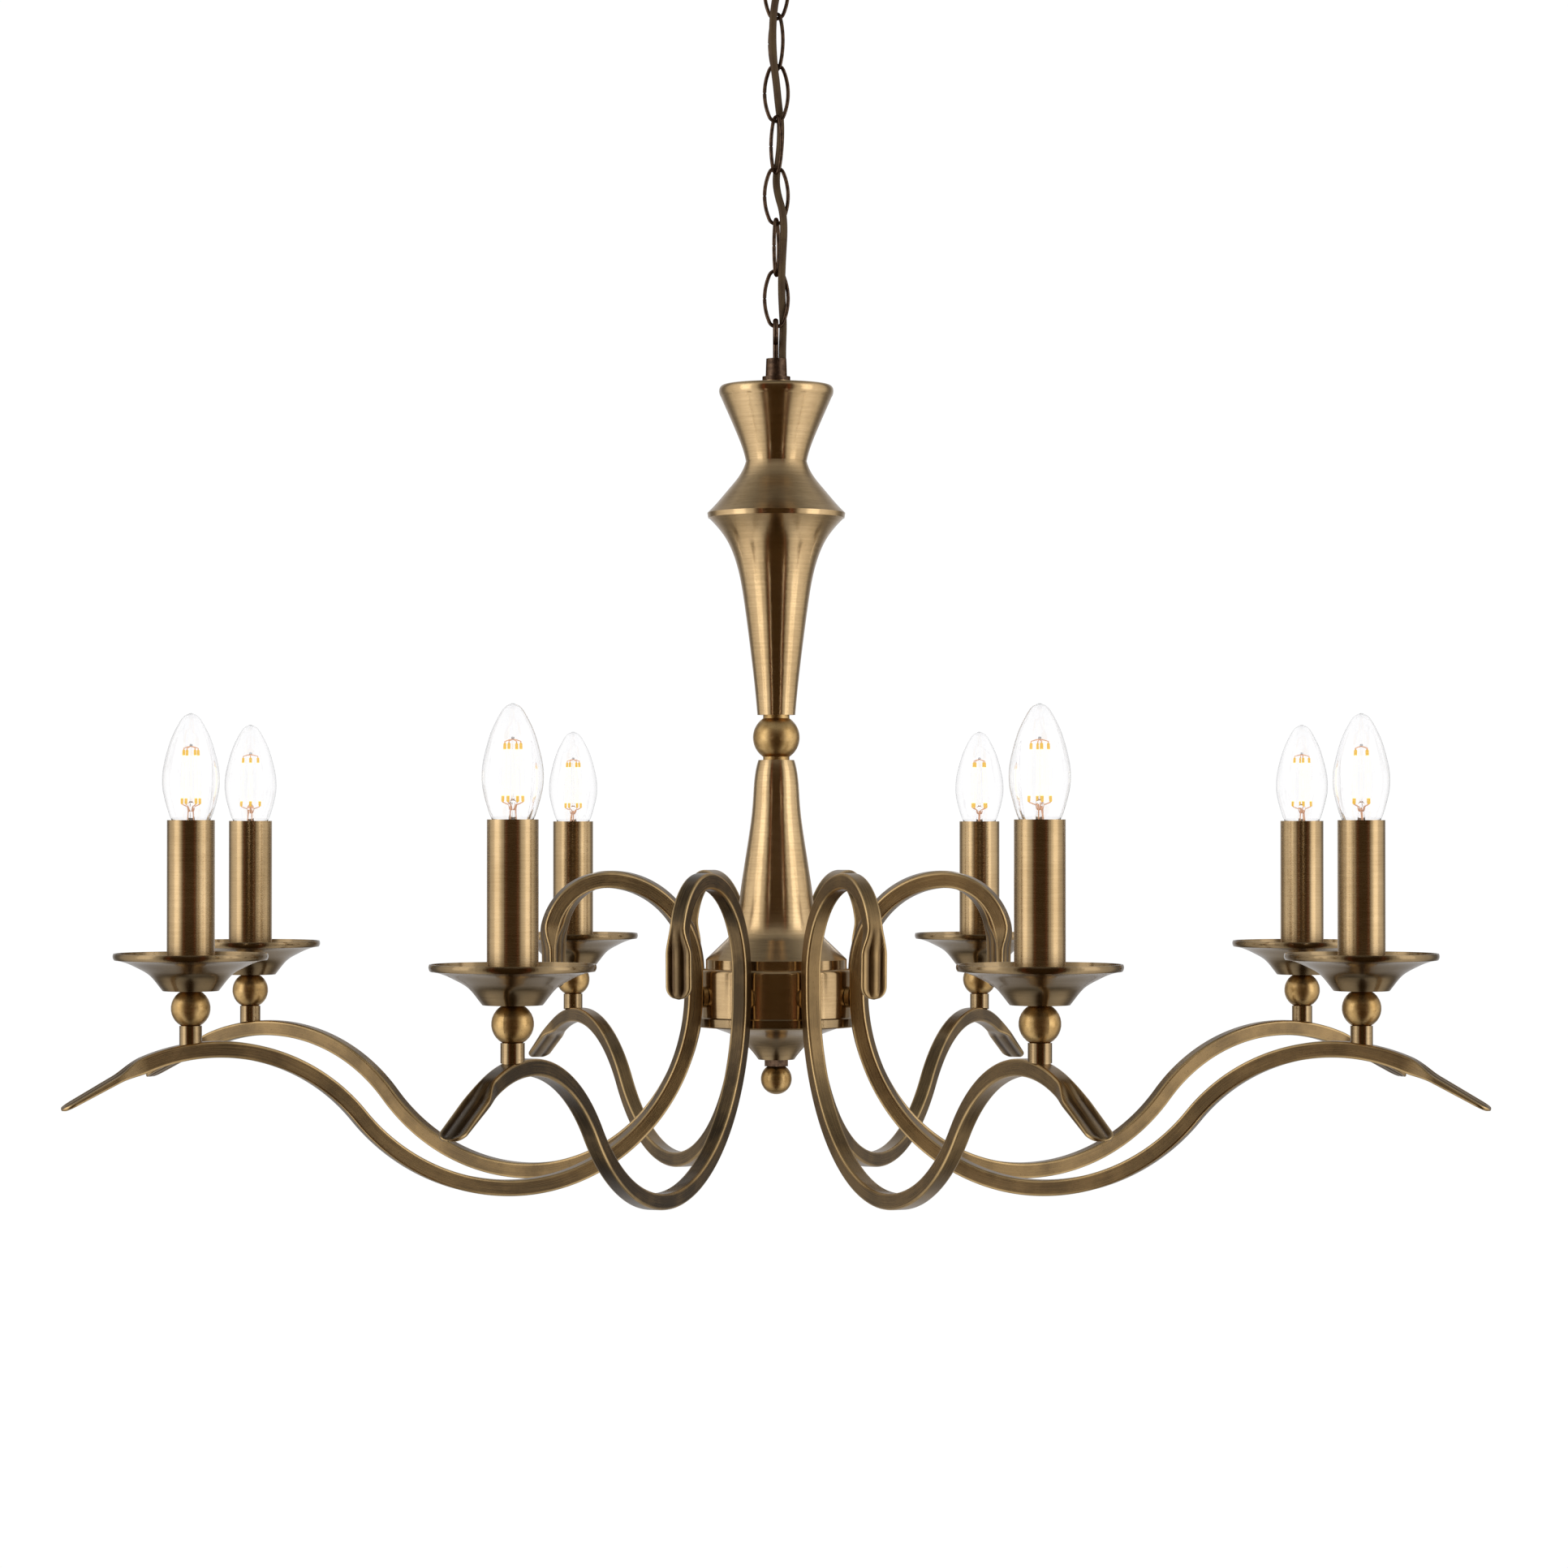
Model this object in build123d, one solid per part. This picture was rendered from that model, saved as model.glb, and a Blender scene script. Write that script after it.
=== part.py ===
from build123d import *
from math import atan2, cos, degrees, hypot, pi, radians, sin, sqrt, tan
import os

# Eight-arm candle chandelier, hanging on a chain from its ceiling rose.
# Millimetres, +Z up, origin on the ceiling at the rose's centre, so everything hangs below z = 0.
# Turned parts are drawn as (radius, height above their own foot).

# ---- driving dimensions ------------------------------------------------------------------------
ARM_COUNT = 8
FIRST_ARM = 22.5  # degrees from +X
CANDLE_R = 385.6  # radius of the circle of candles
ARM_TIP_R = 465.0
CLEAR = 0.1  # round a thread or a spigot
WEB = 2.5  # end walls of the hollow turned parts

# ceiling rose and its bracket
ROSE_R = 60.0
ROSE_DEPTH = 57.5
ROSE_WALL = 1.2
STRAP_LENGTH, STRAP_WIDTH, STRAP_THICK = 104.0, 22.0, 2.0
STRAP_HOLE_R = 2.6
STRAP_HOLE_SPACING = 76.0
BOSS_R = 8.0
BOSS_DEPTH = 12.0
BLOCK_LENGTH, BLOCK_WIDTH, BLOCK_HEIGHT = 18.0, 18.0, 14.0
BLOCK_X = 22.0
TERMINAL_PITCH = 6.0
TERMINAL_R = 1.8

# loop fittings, the same at the ceiling and on the column
FLANGE_R = 9.0
FLANGE_H = 2.7
COLLAR_H = 11.6
COLLAR_FOOT_R, COLLAR_TOP_R = 6.9, 6.5
RING_R = 7.0  # centre line
RING_WIRE = 3.6
RING_X = -0.4
HOOK_H = 38.6  # from the flange's face to the middle of the wire that carries the chain

# chain
LINK_COUNT = 7
LINK_WIRE = 2.4
LINK_HALF_LENGTH = 18.0  # centre line
LINK_HALF_WIDTH = 7.55  # centre line
LINK_END_R = 4.9
LINK_GAP = 0.5
LINK_TURN = (0, -56, 0, -63, 0, 79, 0)  # degrees about Z, top link first

# hollow threaded rod that holds the column together
ROD_R = 5.0
ROD_BORE_R = 3.5
ROD_IN_LOOP = 6.0
ROD_IN_BALL = 5.8

# cup at the top of the column
CUP_H = 51.7
CUP_LIP_H = 48.7

# hub
DRUM_R = 49.3
DRUM_WALL = 2.0
DRUM_EDGE = 2.5
PLATE_R = 50.7
PLATE_EDGE = 0.8
CONNECTOR_R = 30.0
FINIAL_R = 9.9
FINIAL_NUT_ACROSS = 15.0

# arms
TUBE = 10.0
TUBE_WALL = 1.2
TUBE_CORNER = 1.5
LEAF_WIDTH = 17.0
LEAF_THICK = 4.0
LEAF_TIP_THICK = 2.2
LEAF_END_R = 8.0
BOLT_R = 4.0
BOLT_BORE_R = 2.5
BOLT_HEAD_ACROSS = 13.0
BOLT_HEAD_H = 4.0
BOLT_END_X = 54.5
WASHER_R = 6.75
WIRE_R = 1.5
WIRE_BEND = 4.0

# candles
STEM_R = 6.85
STEM_H = 10.6
STEM_BORE_R = 3.0
SPIGOT_R = 3.9
CANDLE_BALL_R = 12.0
CANDLE_BALL_H = 21.2
PAN_WALL = 1.2
SLEEVE_R = 14.5
SLEEVE_WALL = 0.7
SLEEVE_TOP_H = 103.9  # above the pan's foot
HOLDER_R = 11.5
HOLDER_SPIGOT_H = 5.0
HOLDER_TOP_H = 93.0
LAMP_TOP_H = 169.2
LAMP_CAP_R = 6.8
LAMP_CAP_H = 25.0
LAMP_GLASS_H = 73.0
GLASS_WALL = 0.8

# flex threaded through the chain
FLEX_D = 4.8
BEND_SHARE = 0.45

# ---- heights, worked down from the ceiling -----------------------------------------------------
CEILING_HOOK_Z = -ROSE_DEPTH - HOOK_H
LINK_PITCH = 2 * LINK_HALF_LENGTH - LINK_WIRE - LINK_GAP
HANG = RING_WIRE / 2 + LINK_GAP + LINK_WIRE / 2
TOP_LINK_Z = CEILING_HOOK_Z + HANG - LINK_HALF_LENGTH
LINK_Z = [TOP_LINK_Z - LINK_PITCH * i for i in range(LINK_COUNT)]
COLUMN_TOP_Z = LINK_Z[-1] - LINK_HALF_LENGTH + HANG - HOOK_H
CUP_Z = COLUMN_TOP_Z - CUP_H
SHOULDER_Z = CUP_Z - 36.6
TRUMPET_Z = SHOULDER_Z - 126.8
BALL_Z = TRUMPET_Z - 29.0
BELL_Z = BALL_Z - 133.9
DRUM_Z = BELL_Z - 30.8
PLATE_Z = DRUM_Z - 6.5
CAP_Z = PLATE_Z - 21.2
NUT_Z = CAP_Z - 4.2
BOLT_Z = DRUM_Z + 13.1
FINIAL_Z = NUT_Z - 8.3  # middle of the ball

# ---- the arm's centre line: arcs as (distance from the column, z, radius) ------------------------
HUB_SIDE_X = DRUM_R + 2.7 + TUBE / 2
SCROLL_SMALL = (117.0, -721.0, 38.0)
SCROLL_BIG = (117.0, -743.0, 60.0)
BOWL_IN = (178.0, -754.5, 121.0)
BOWL_OUT = (178.0, -744.5, 131.0)
CREST_X, CREST_Z = 370.0, -902.9
CREST_R = hypot(CREST_X - BOWL_OUT[0], CREST_Z - BOWL_OUT[1]) - BOWL_OUT[2]
CREST = (CREST_X, CREST_Z, CREST_R)
CREST_START = degrees(atan2(BOWL_OUT[1] - CREST_Z, BOWL_OUT[0] - CREST_X))
TIP_FALL = 28.0  # degrees below level at the arm's tip
INNER_LEAF_ANGLE = 16.0  # where the tube starts to flatten, on the small scroll arc
OUTER_LEAF_ANGLE = 68.0  # and on the crest
INNER_LEAF_Z = -754.7
LEAF_SHOULDER = 7.0  # straight run in which the tube finishes widening
ARM_TOP_Z = CREST_Z + sqrt((CREST_R + TUBE / 2) ** 2 - (CANDLE_R - CREST_X) ** 2)
PAN_Z = ARM_TOP_Z + STEM_H + CANDLE_BALL_H
LAMP_TOP_Z = PAN_Z + LAMP_TOP_H

# ---- the flex's route: in front of the top links, through the third to the back, behind the fourth,
# through the fifth to the front, and through the last to the back -------------------------------
FLEX_ROUTE = [
    (3.95, 0.0, -71.8),
    (3.95, 0.0, -77.6),
    (4.1, -1.6, -84.0),
    (4.3, -4.6, -94.0),
    (2.6, -6.6, -105.0),
    (-0.6, -6.2, -117.0),
    (-2.2, -5.6, -130.0),
    (-2.4, -5.7, -144.0),
    (-1.6, -6.2, -159.0),
    (0.2, -2.6, -172.0),
    (1.3, 2.4, -183.0),
    (2.9, 5.7, -195.0),
    (2.6, 5.9, -209.0),
    (1.2, 7.3, -221.0),
    (-0.4, 5.7, -232.0),
    (1.0, 1.2, -242.5),
    (4.1, -3.8, -253.0),
    (5.0, -5.4, -265.0),
    (4.2, -5.0, -279.0),
    (3.5, -5.3, -292.0),
    (3.4, -1.4, -304.0),
    (3.9, 3.2, -315.5),
    (4.5, 4.4, -325.0),
    (4.1, 1.6, -336.5),
    (3.95, 0.0, -342.4),
    (3.95, 0.0, -348.0),
]
FLEX_SPLITS = (4, 17)  # its three lengths meet half way along the runs after these points


# ---- helpers -----------------------------------------------------------------------------------
def turned(foot, *stretches):
    """Turned solid. A stretch of two (radius, height) points is straight, a longer one is a curve."""
    outline = Curve()
    for stretch in stretches:
        points = [(r, foot + h) for r, h in stretch]
        outline += Line(*points) if len(points) == 2 else Spline(*points)
    (low_r, low_h), (high_r, high_h) = stretches[0][0], stretches[-1][-1]
    low, high = foot + low_h, foot + high_h
    closing = [(high_r, high), (0, high), (0, low), (low_r, low)]
    if high_r == 0:
        closing = closing[1:]
    outline += Polyline(*closing)
    return revolve(Plane.XZ * make_face(outline), Axis.Z)


def bar(radius, bottom, top, x=0.0, bore=0.0):
    """Upright round bar at x, or a tube where it has a bore."""
    upright = (Align.CENTER, Align.CENTER, Align.MIN)
    body = Cylinder(radius, top - bottom, align=upright)
    if bore:
        body -= Cylinder(bore, top - bottom, align=upright)
    return Pos(x, 0, bottom) * body


def cross_bar(radius, start, end, z):
    """Level round bar along X."""
    return Pos(start, 0, z) * Rot(0, 90, 0) * bar(radius, 0, end - start)


def hexagon(across, height):
    return extrude(RegularPolygon(across / 2, 6, major_radius=False), height)


def inset(stretch, wall, lift=0.0):
    return [(r - wall, h + lift) for r, h in stretch]


def hollow_turned(foot, stretches, wall):
    """Turned shell with a web at each end, drilled for the rod."""
    height = stretches[-1][-1][1]
    inside = turned(foot, *[inset(stretch, wall) for stretch in stretches])
    inside &= bar(100, foot + WEB, foot + height - WEB)
    return turned(foot, *stretches) - inside - bar(ROD_R + CLEAR, foot, foot + height)


def arc(circle, start, end):
    """Arc of a (x, z, radius) circle between two angles, in degrees from outwards."""
    return CenterArc(circle[:2], circle[2], start, end - start)


def on_circle(circle, angle):
    x, z, r = circle
    return x + r * cos(radians(angle)), z + r * sin(radians(angle))


def across_arm(x, z, angle):
    """Plane square to the arm where it runs at an angle, in degrees above outwards; its x is sideways."""
    return Plane((x, 0, z), x_dir=(0, 1, 0), z_dir=(cos(radians(angle)), 0, sin(radians(angle))))


def around(shape, radius=0.0):
    """Copies of a shape at every arm, moved out to a radius."""
    return [Rot(0, 0, FIRST_ARM + i * 360 / ARM_COUNT) * Pos(radius, 0, 0) * shape for i in range(ARM_COUNT)]


def swept(outline, section):
    """Sweep a section along an outline drawn in the (x, z) plane."""
    path = Plane.XZ * outline
    start = Plane(path @ 0, x_dir=(0, 1, 0), z_dir=path % 0)
    return sweep(start * section, path=path)


# ---- ceiling -----------------------------------------------------------------------------------
def ceiling_plate():
    """Strap bracket with two screw holes and a boss for the loop's threaded stem."""
    plate = Pos(0, 0, -STRAP_THICK / 2) * Box(STRAP_LENGTH, STRAP_WIDTH, STRAP_THICK)
    plate += bar(BOSS_R, -BOSS_DEPTH, 0)
    plate -= bar(ROD_R + CLEAR, -BOSS_DEPTH, 0)
    for side in (-1, 1):
        plate -= bar(STRAP_HOLE_R, -STRAP_THICK, 0, x=side * STRAP_HOLE_SPACING / 2)
    return plate


def ceiling_rose():
    """Spun cup that covers the bracket, with its rim against the ceiling."""
    flank = [(22.0, 0), (38.0, 6.0), (50.0, 20.0), (56.5, 38.0), (ROSE_R, ROSE_DEPTH)]
    cup = turned(-ROSE_DEPTH, flank)
    cup -= turned(-ROSE_DEPTH, inset(flank, ROSE_WALL, ROSE_WALL))
    return cup - bar(ROD_R + CLEAR, -ROSE_DEPTH, 0)


def loop_fitting():
    """Flange, tapered collar and ring, standing on z = 0."""
    ring_z = HOOK_H - RING_R
    fitting = bar(FLANGE_R, 0, FLANGE_H)
    fitting += turned(FLANGE_H, [(COLLAR_FOOT_R, 0), (COLLAR_TOP_R, COLLAR_H)])
    fitting += Plane((RING_X, 0, ring_z), z_dir=(1, 0, 0)) * Torus(RING_R, RING_WIRE / 2)
    return fitting + bar(RING_WIRE / 2, FLANGE_H, ring_z - RING_R, x=RING_X)


def ceiling_loop():
    """Loop fitting hung under the rose, with the hollow stem that screws into the bracket."""
    fitting = Pos(0, 0, -ROSE_DEPTH) * Rot(180, 0, 0) * loop_fitting()
    return fitting + bar(ROD_R, -ROSE_DEPTH, -STRAP_THICK, bore=ROD_BORE_R)


def terminal_block():
    """Screw terminal block under the bracket's arm."""
    middle = Pos(BLOCK_X, 0, -STRAP_THICK - BLOCK_HEIGHT / 2)
    block = middle * Box(BLOCK_LENGTH, BLOCK_WIDTH, BLOCK_HEIGHT)
    for y in (-TERMINAL_PITCH, 0, TERMINAL_PITCH):
        block -= middle * Pos(0, y, 0) * Rot(0, 90, 0) * Cylinder(TERMINAL_R, BLOCK_LENGTH)
    return block


# ---- chain and flex ----------------------------------------------------------------------------
def chain_link():
    """Oval link: two end arcs and two long side arcs, standing in the XZ plane."""
    end_z = LINK_HALF_LENGTH - LINK_END_R
    side_r = (LINK_HALF_WIDTH ** 2 + end_z ** 2 - LINK_END_R ** 2) / (2 * (LINK_HALF_WIDTH - LINK_END_R))
    side_x = side_r - LINK_HALF_WIDTH
    spread = degrees(atan2(end_z, side_x))
    outline = Curve() + [
        arc((-side_x, 0, side_r), -spread, spread),
        arc((0, end_z, LINK_END_R), spread, 180 - spread),
        arc((side_x, 0, side_r), 180 - spread, 180 + spread),
        arc((0, -end_z, LINK_END_R), 180 + spread, 360 - spread),
    ]
    return swept(outline, Circle(LINK_WIRE / 2))


def chain():
    link = chain_link()
    return [Pos(0, 0, z) * Rot(0, 0, turn) * link for z, turn in zip(LINK_Z, LINK_TURN)]


def flex_lengths():
    """The route's points for each of the flex's three lengths, top to bottom."""
    first, second = FLEX_SPLITS
    meets = [tuple((a + b) / 2 for a, b in zip(FLEX_ROUTE[i], FLEX_ROUTE[i + 1])) for i in FLEX_SPLITS]
    return {
        "flex_top": FLEX_ROUTE[:first + 1] + meets[:1],
        "flex_middle": meets[:1] + FLEX_ROUTE[first + 1:second + 1] + meets[1:],
        "flex_bottom": meets[1:] + FLEX_ROUTE[second + 1:],
    }


def flex(name, points):
    """Round flex along straight runs joined by tangent arcs, each as large as its runs allow."""
    corners = [Vector(*p) for p in points]
    radii = []
    for before, corner, after in zip(corners, corners[1:], corners[2:]):
        run_in, run_out = corner - before, after - corner
        half_turn = radians(run_in.get_angle(run_out)) / 2
        radii.append(BEND_SHARE * min(run_in.length, run_out.length) / tan(half_turn))
    path = FilletPolyline(*points, radius=radii)
    body = sweep(Plane(path @ 0, z_dir=path % 0) * Circle(FLEX_D / 2), path=path)
    expected = pi * FLEX_D ** 2 / 4 * path.length
    print(name, "length", round(path.length, 1), "volume against section", round(body.volume / expected, 4))
    print("  bend radii", [round(r, 1) for r in radii])
    return body


# ---- column ------------------------------------------------------------------------------------
def column_loop():
    fitting = Pos(0, 0, COLUMN_TOP_Z) * loop_fitting()
    return fitting - bar(ROD_R + CLEAR, COLUMN_TOP_Z, COLUMN_TOP_Z + ROD_IN_LOOP + WEB)


def top_cup():
    """Funnel with a rolled lip and a low boss for the loop."""
    flank = [(19.6, 0), (20.6, 4.4), (25.1, 17.0), (30.5, 29.6), (35.6, 41.2)]
    lip = [flank[-1], (36.8, 44.6), (36.3, 47.4), (34.9, CUP_LIP_H)]
    boss = bar(FLANGE_R, CUP_Z + CUP_LIP_H, COLUMN_TOP_Z, bore=ROD_R + CLEAR)
    return hollow_turned(CUP_Z, [flank, lip], 2.0) + boss


def shoulder_cone():
    """Concave cone from a thin rim up to the waist."""
    rim = [(43.9, 0), (44.4, 3.2)]
    flank = [rim[-1], (41.0, 6.6), (30.5, 18.8), (23.2, 28.2), (19.6, 36.6)]
    return hollow_turned(SHOULDER_Z, [rim, flank], 2.0)


def trumpet():
    flank = [(12.2, 0), (13.8, 17.2), (16.7, 42.3), (20.4, 70.4), (24.3, 92.4), (28.2, 104.9),
             (32.9, 114.3), (37.6, 120.6), (43.4, 126.8)]
    return hollow_turned(TRUMPET_Z, [flank], 1.8)


def column_ball():
    """Ball with a short neck above and below."""
    ball = Pos(0, 0, (BALL_Z + TRUMPET_Z) / 2) * Sphere(15.0) & bar(20, BALL_Z, TRUMPET_Z)
    return ball + bar(8.5, BALL_Z, TRUMPET_Z) - bar(ROD_R + CLEAR, BALL_Z, TRUMPET_Z)


def bell():
    """Long bell with a flared skirt and a band round its rim, open at the foot."""
    wall = 1.8
    rim = [(45.3, 0), (45.3, 5.7)]
    edge = [rim[-1], (44.3, 6.8)]
    slope = [edge[-1], (33.4, 17.4)]
    skirt = [slope[-1], (30.0, 21.2), (26.4, 30.0), (23.2, 48.5), (18.5, 79.9), (15.2, 106.0), (12.8, 129.5),
             (11.6, 133.9)]
    inside_slope = [(43.4, 5.0)] + inset(slope[1:], wall)
    inside = turned(BELL_Z, [(43.4, 0), (43.4, 5.0)], inside_slope, inset(skirt[:-1], wall))
    return turned(BELL_Z, rim, edge, slope, skirt) - inside - bar(ROD_R + CLEAR, BELL_Z, BALL_Z)


def hub_drum():
    """Wiring drum: closed top, a hole for each arm's bolt, open foot."""
    height = BELL_Z - DRUM_Z
    wall = [(DRUM_R, 0), (DRUM_R, height - DRUM_EDGE)]
    edge = [wall[-1], (DRUM_R - 0.3 * DRUM_EDGE, height - 0.3 * DRUM_EDGE), (DRUM_R - DRUM_EDGE, height)]
    drum = turned(DRUM_Z, wall, edge) - bar(DRUM_R - DRUM_WALL, DRUM_Z, BELL_Z - DRUM_WALL)
    drum -= bar(ROD_R + CLEAR, DRUM_Z, BELL_Z)
    return drum - around(cross_bar(BOLT_R + CLEAR, DRUM_R - 5, DRUM_R + 5, BOLT_Z))


def hub_plate():
    height = DRUM_Z - PLATE_Z
    side = [(PLATE_R, PLATE_EDGE), (PLATE_R, height - PLATE_EDGE)]
    plate = turned(PLATE_Z, [(PLATE_R - PLATE_EDGE, 0), side[0]], side, [side[1], (PLATE_R - PLATE_EDGE, height)])
    return plate - bar(ROD_R + CLEAR, PLATE_Z, DRUM_Z)


def bottom_cap():
    """Hollow cap under the hub, curving in to the finial."""
    flank = [(11.5, 0), (13.4, 2.6), (20.7, 10.5), (29.2, 16.2), (38.6, 19.8), (41.8, 21.2)]
    return hollow_turned(CAP_Z, [flank], 2.0)


def finial_nut():
    nut = Pos(0, 0, NUT_Z) * Rot(0, 0, 30) * hexagon(FINIAL_NUT_ACROSS, CAP_Z - NUT_Z)
    return nut - bar(ROD_R + CLEAR, NUT_Z, CAP_Z)


def finial_ball():
    ball = Pos(0, 0, FINIAL_Z) * Sphere(FINIAL_R) & bar(20, FINIAL_Z - FINIAL_R, NUT_Z)
    return ball - bar(ROD_R + CLEAR, NUT_Z - ROD_IN_BALL, NUT_Z)


def centre_rod():
    """Hollow rod that clamps the column together, from the finial ball up into the loop."""
    return bar(ROD_R, NUT_Z - ROD_IN_BALL + 0.5, COLUMN_TOP_Z + ROD_IN_LOOP, bore=ROD_BORE_R)


def hub_connector():
    """Round connector block in the drum, where the flex meets the arms' wires."""
    return bar(CONNECTOR_R, DRUM_Z, BOLT_Z + 6, bore=ROD_R + 1)


# ---- arms --------------------------------------------------------------------------------------
def leaf(root, shoulder, tip, tip_thick):
    """Tube end pressed flat: it widens from root to shoulder and ends in a round tip."""
    flat = shoulder * RectangleRounded(LEAF_WIDTH, LEAF_THICK, 0.35 * LEAF_THICK)
    end = tip * RectangleRounded(LEAF_WIDTH, tip_thick, 0.35 * tip_thick)
    square = root * RectangleRounded(TUBE, TUBE, TUBE_CORNER)
    length = (tip.origin - shoulder.origin).length
    middle = tip.origin - tip.z_dir * length
    outline = Plane(middle, x_dir=(0, 1, 0), z_dir=tip.z_dir.cross(Vector(0, 1, 0)))
    rounding = extrude(outline * RectangleRounded(LEAF_WIDTH, 2 * length, LEAF_END_R), 10, both=True)
    return loft([square, flat]) + (loft([flat, end]) & rounding)


def arm():
    """Square tube bent in its own upright plane, with both ends pressed into leaves."""
    spine = Curve() + [
        arc(SCROLL_SMALL, INNER_LEAF_ANGLE, 90),
        arc(SCROLL_BIG, 90, 180),
        Line((HUB_SIDE_X, SCROLL_BIG[1]), (HUB_SIDE_X, BOWL_IN[1])),
        arc(BOWL_IN, 180, 270),
        arc(BOWL_OUT, 270, CREST_START + 180),
        arc(CREST, CREST_START, OUTER_LEAF_ANGLE),
    ]
    inner = TUBE - 2 * TUBE_WALL
    section = RectangleRounded(TUBE, TUBE, TUBE_CORNER) - Rectangle(inner, inner)
    body = swept(spine, section)

    side_x, side_z = on_circle(SCROLL_SMALL, 0)
    root = across_arm(*on_circle(SCROLL_SMALL, INNER_LEAF_ANGLE), INNER_LEAF_ANGLE - 90)
    body += leaf(root, across_arm(side_x, side_z - LEAF_SHOULDER, -90),
                 across_arm(side_x, INNER_LEAF_Z, -90), LEAF_THICK - 1)

    fall_x, fall_z = on_circle(CREST, 90 - TIP_FALL)
    root = across_arm(*on_circle(CREST, OUTER_LEAF_ANGLE), OUTER_LEAF_ANGLE - 90)
    slope = tan(radians(TIP_FALL))
    shoulder = across_arm(fall_x + LEAF_SHOULDER, fall_z - LEAF_SHOULDER * slope, -TIP_FALL)
    tip = across_arm(ARM_TIP_R, fall_z - (ARM_TIP_R - fall_x) * slope, -TIP_FALL)
    body += leaf(root, shoulder, tip, LEAF_TIP_THICK)

    body -= cross_bar(BOLT_R + CLEAR, HUB_SIDE_X - TUBE, HUB_SIDE_X, BOLT_Z)
    return body - bar(SPIGOT_R + CLEAR, ARM_TOP_Z - 3, ARM_TOP_Z + 3, x=CANDLE_R)


def arm_bolt():
    """Hollow bolt from inside the drum into the arm."""
    head_x = DRUM_R - DRUM_WALL - 0.7
    bolt = cross_bar(BOLT_R, head_x, BOLT_END_X, BOLT_Z)
    bolt += Pos(head_x - BOLT_HEAD_H, 0, BOLT_Z) * Rot(0, 90, 0) * hexagon(BOLT_HEAD_ACROSS, BOLT_HEAD_H)
    return bolt - cross_bar(BOLT_BORE_R, 0, BOLT_END_X, BOLT_Z)


def arm_washer():
    hole = cross_bar(BOLT_R + CLEAR, DRUM_R, HUB_SIDE_X, BOLT_Z)
    return cross_bar(WASHER_R, DRUM_R, HUB_SIDE_X - TUBE / 2, BOLT_Z) - hole


def arm_wire():
    """Wires of one lamp: from the connector, along the inside of the arm and up into the holder."""
    drop = BOWL_IN[1] - BOLT_Z + WIRE_BEND
    reach = BOWL_IN[2] + WIRE_BEND
    bend_x = BOWL_IN[0] - sqrt(reach ** 2 - drop ** 2)
    turn = degrees(atan2(drop, BOWL_IN[0] - bend_x))
    crest_top = CREST_Z + CREST_R
    spine = Curve() + [
        Line((CONNECTOR_R, BOLT_Z), (bend_x, BOLT_Z)),
        arc((bend_x, BOLT_Z - WIRE_BEND, WIRE_BEND), 90, turn),
        arc(BOWL_IN, 180 + turn, 270),
        arc(BOWL_OUT, 270, CREST_START + 180),
        arc(CREST, CREST_START, 90),
        Line((CREST_X, crest_top), (CANDLE_R - WIRE_BEND, crest_top)),
        arc((CANDLE_R - WIRE_BEND, crest_top + WIRE_BEND, WIRE_BEND), -90, 0),
        Line((CANDLE_R, crest_top + WIRE_BEND), (CANDLE_R, PAN_Z + 50)),
    ]
    return swept(spine, Circle(WIRE_R))


# ---- candles, drawn on the axis and then moved out to the arms -----------------------------------
def candle_stem():
    """Short stem with a saddle foot on the crest of the arm and a spigot into it."""
    stem = bar(STEM_R, ARM_TOP_Z - 2, ARM_TOP_Z + STEM_H)
    crest = Pos(CREST_X - CANDLE_R, 0, CREST_Z) * Rot(90, 0, 0) * Cylinder(CREST_R + TUBE / 2, 4 * STEM_R)
    stem = stem - crest + bar(SPIGOT_R, ARM_TOP_Z - 2.2, ARM_TOP_Z + 2)
    return stem - bar(STEM_BORE_R, ARM_TOP_Z - 3, ARM_TOP_Z + STEM_H)


def candle_ball():
    foot = ARM_TOP_Z + STEM_H
    ball = Pos(0, 0, foot + CANDLE_BALL_H / 2) * Sphere(CANDLE_BALL_R) & bar(20, foot, PAN_Z)
    return ball - bar(STEM_BORE_R, foot, PAN_Z) - bar(BOLT_R + CLEAR, PAN_Z - HOLDER_SPIGOT_H - 0.3, PAN_Z)


def drip_pan():
    """Thin dish with an upturned rim."""
    dish = [(17.0, 0), (20.0, 3.9), (25.3, 9.9), (32.0, 13.9), (40.0, 17.5), (46.2, 18.8)]
    rim = [dish[-1], (46.9, 20.2), (46.6, 22.8)]
    inside_dish = inset(dish, 1.0, PAN_WALL)
    pan = turned(PAN_Z, dish, rim) - turned(PAN_Z, inside_dish, [inside_dish[-1], (45.5, 22.8)])
    return pan - bar(BOLT_R + CLEAR, PAN_Z, PAN_Z + 3)


def sleeve():
    """Candle tube round the holder, standing in the pan."""
    return bar(SLEEVE_R, PAN_Z + PAN_WALL, PAN_Z + SLEEVE_TOP_H, bore=SLEEVE_R - SLEEVE_WALL)


def lampholder():
    """Spigot, base, post and threaded cup for the lamp's cap."""
    base_h, post_h, cup_h = PAN_WALL + 2, 50, 66
    holder = bar(BOLT_R, PAN_Z - HOLDER_SPIGOT_H, PAN_Z + base_h)
    holder += bar(9.0, PAN_Z + PAN_WALL, PAN_Z + base_h)
    holder += bar(6.0, PAN_Z + base_h, PAN_Z + post_h)
    holder += bar(HOLDER_R, PAN_Z + post_h, PAN_Z + HOLDER_TOP_H)
    holder -= bar(BOLT_BORE_R, PAN_Z - HOLDER_SPIGOT_H, PAN_Z + post_h + 5)
    return holder - bar(LAMP_CAP_R + 2 * CLEAR, PAN_Z + cup_h, PAN_Z + HOLDER_TOP_H)


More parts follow.
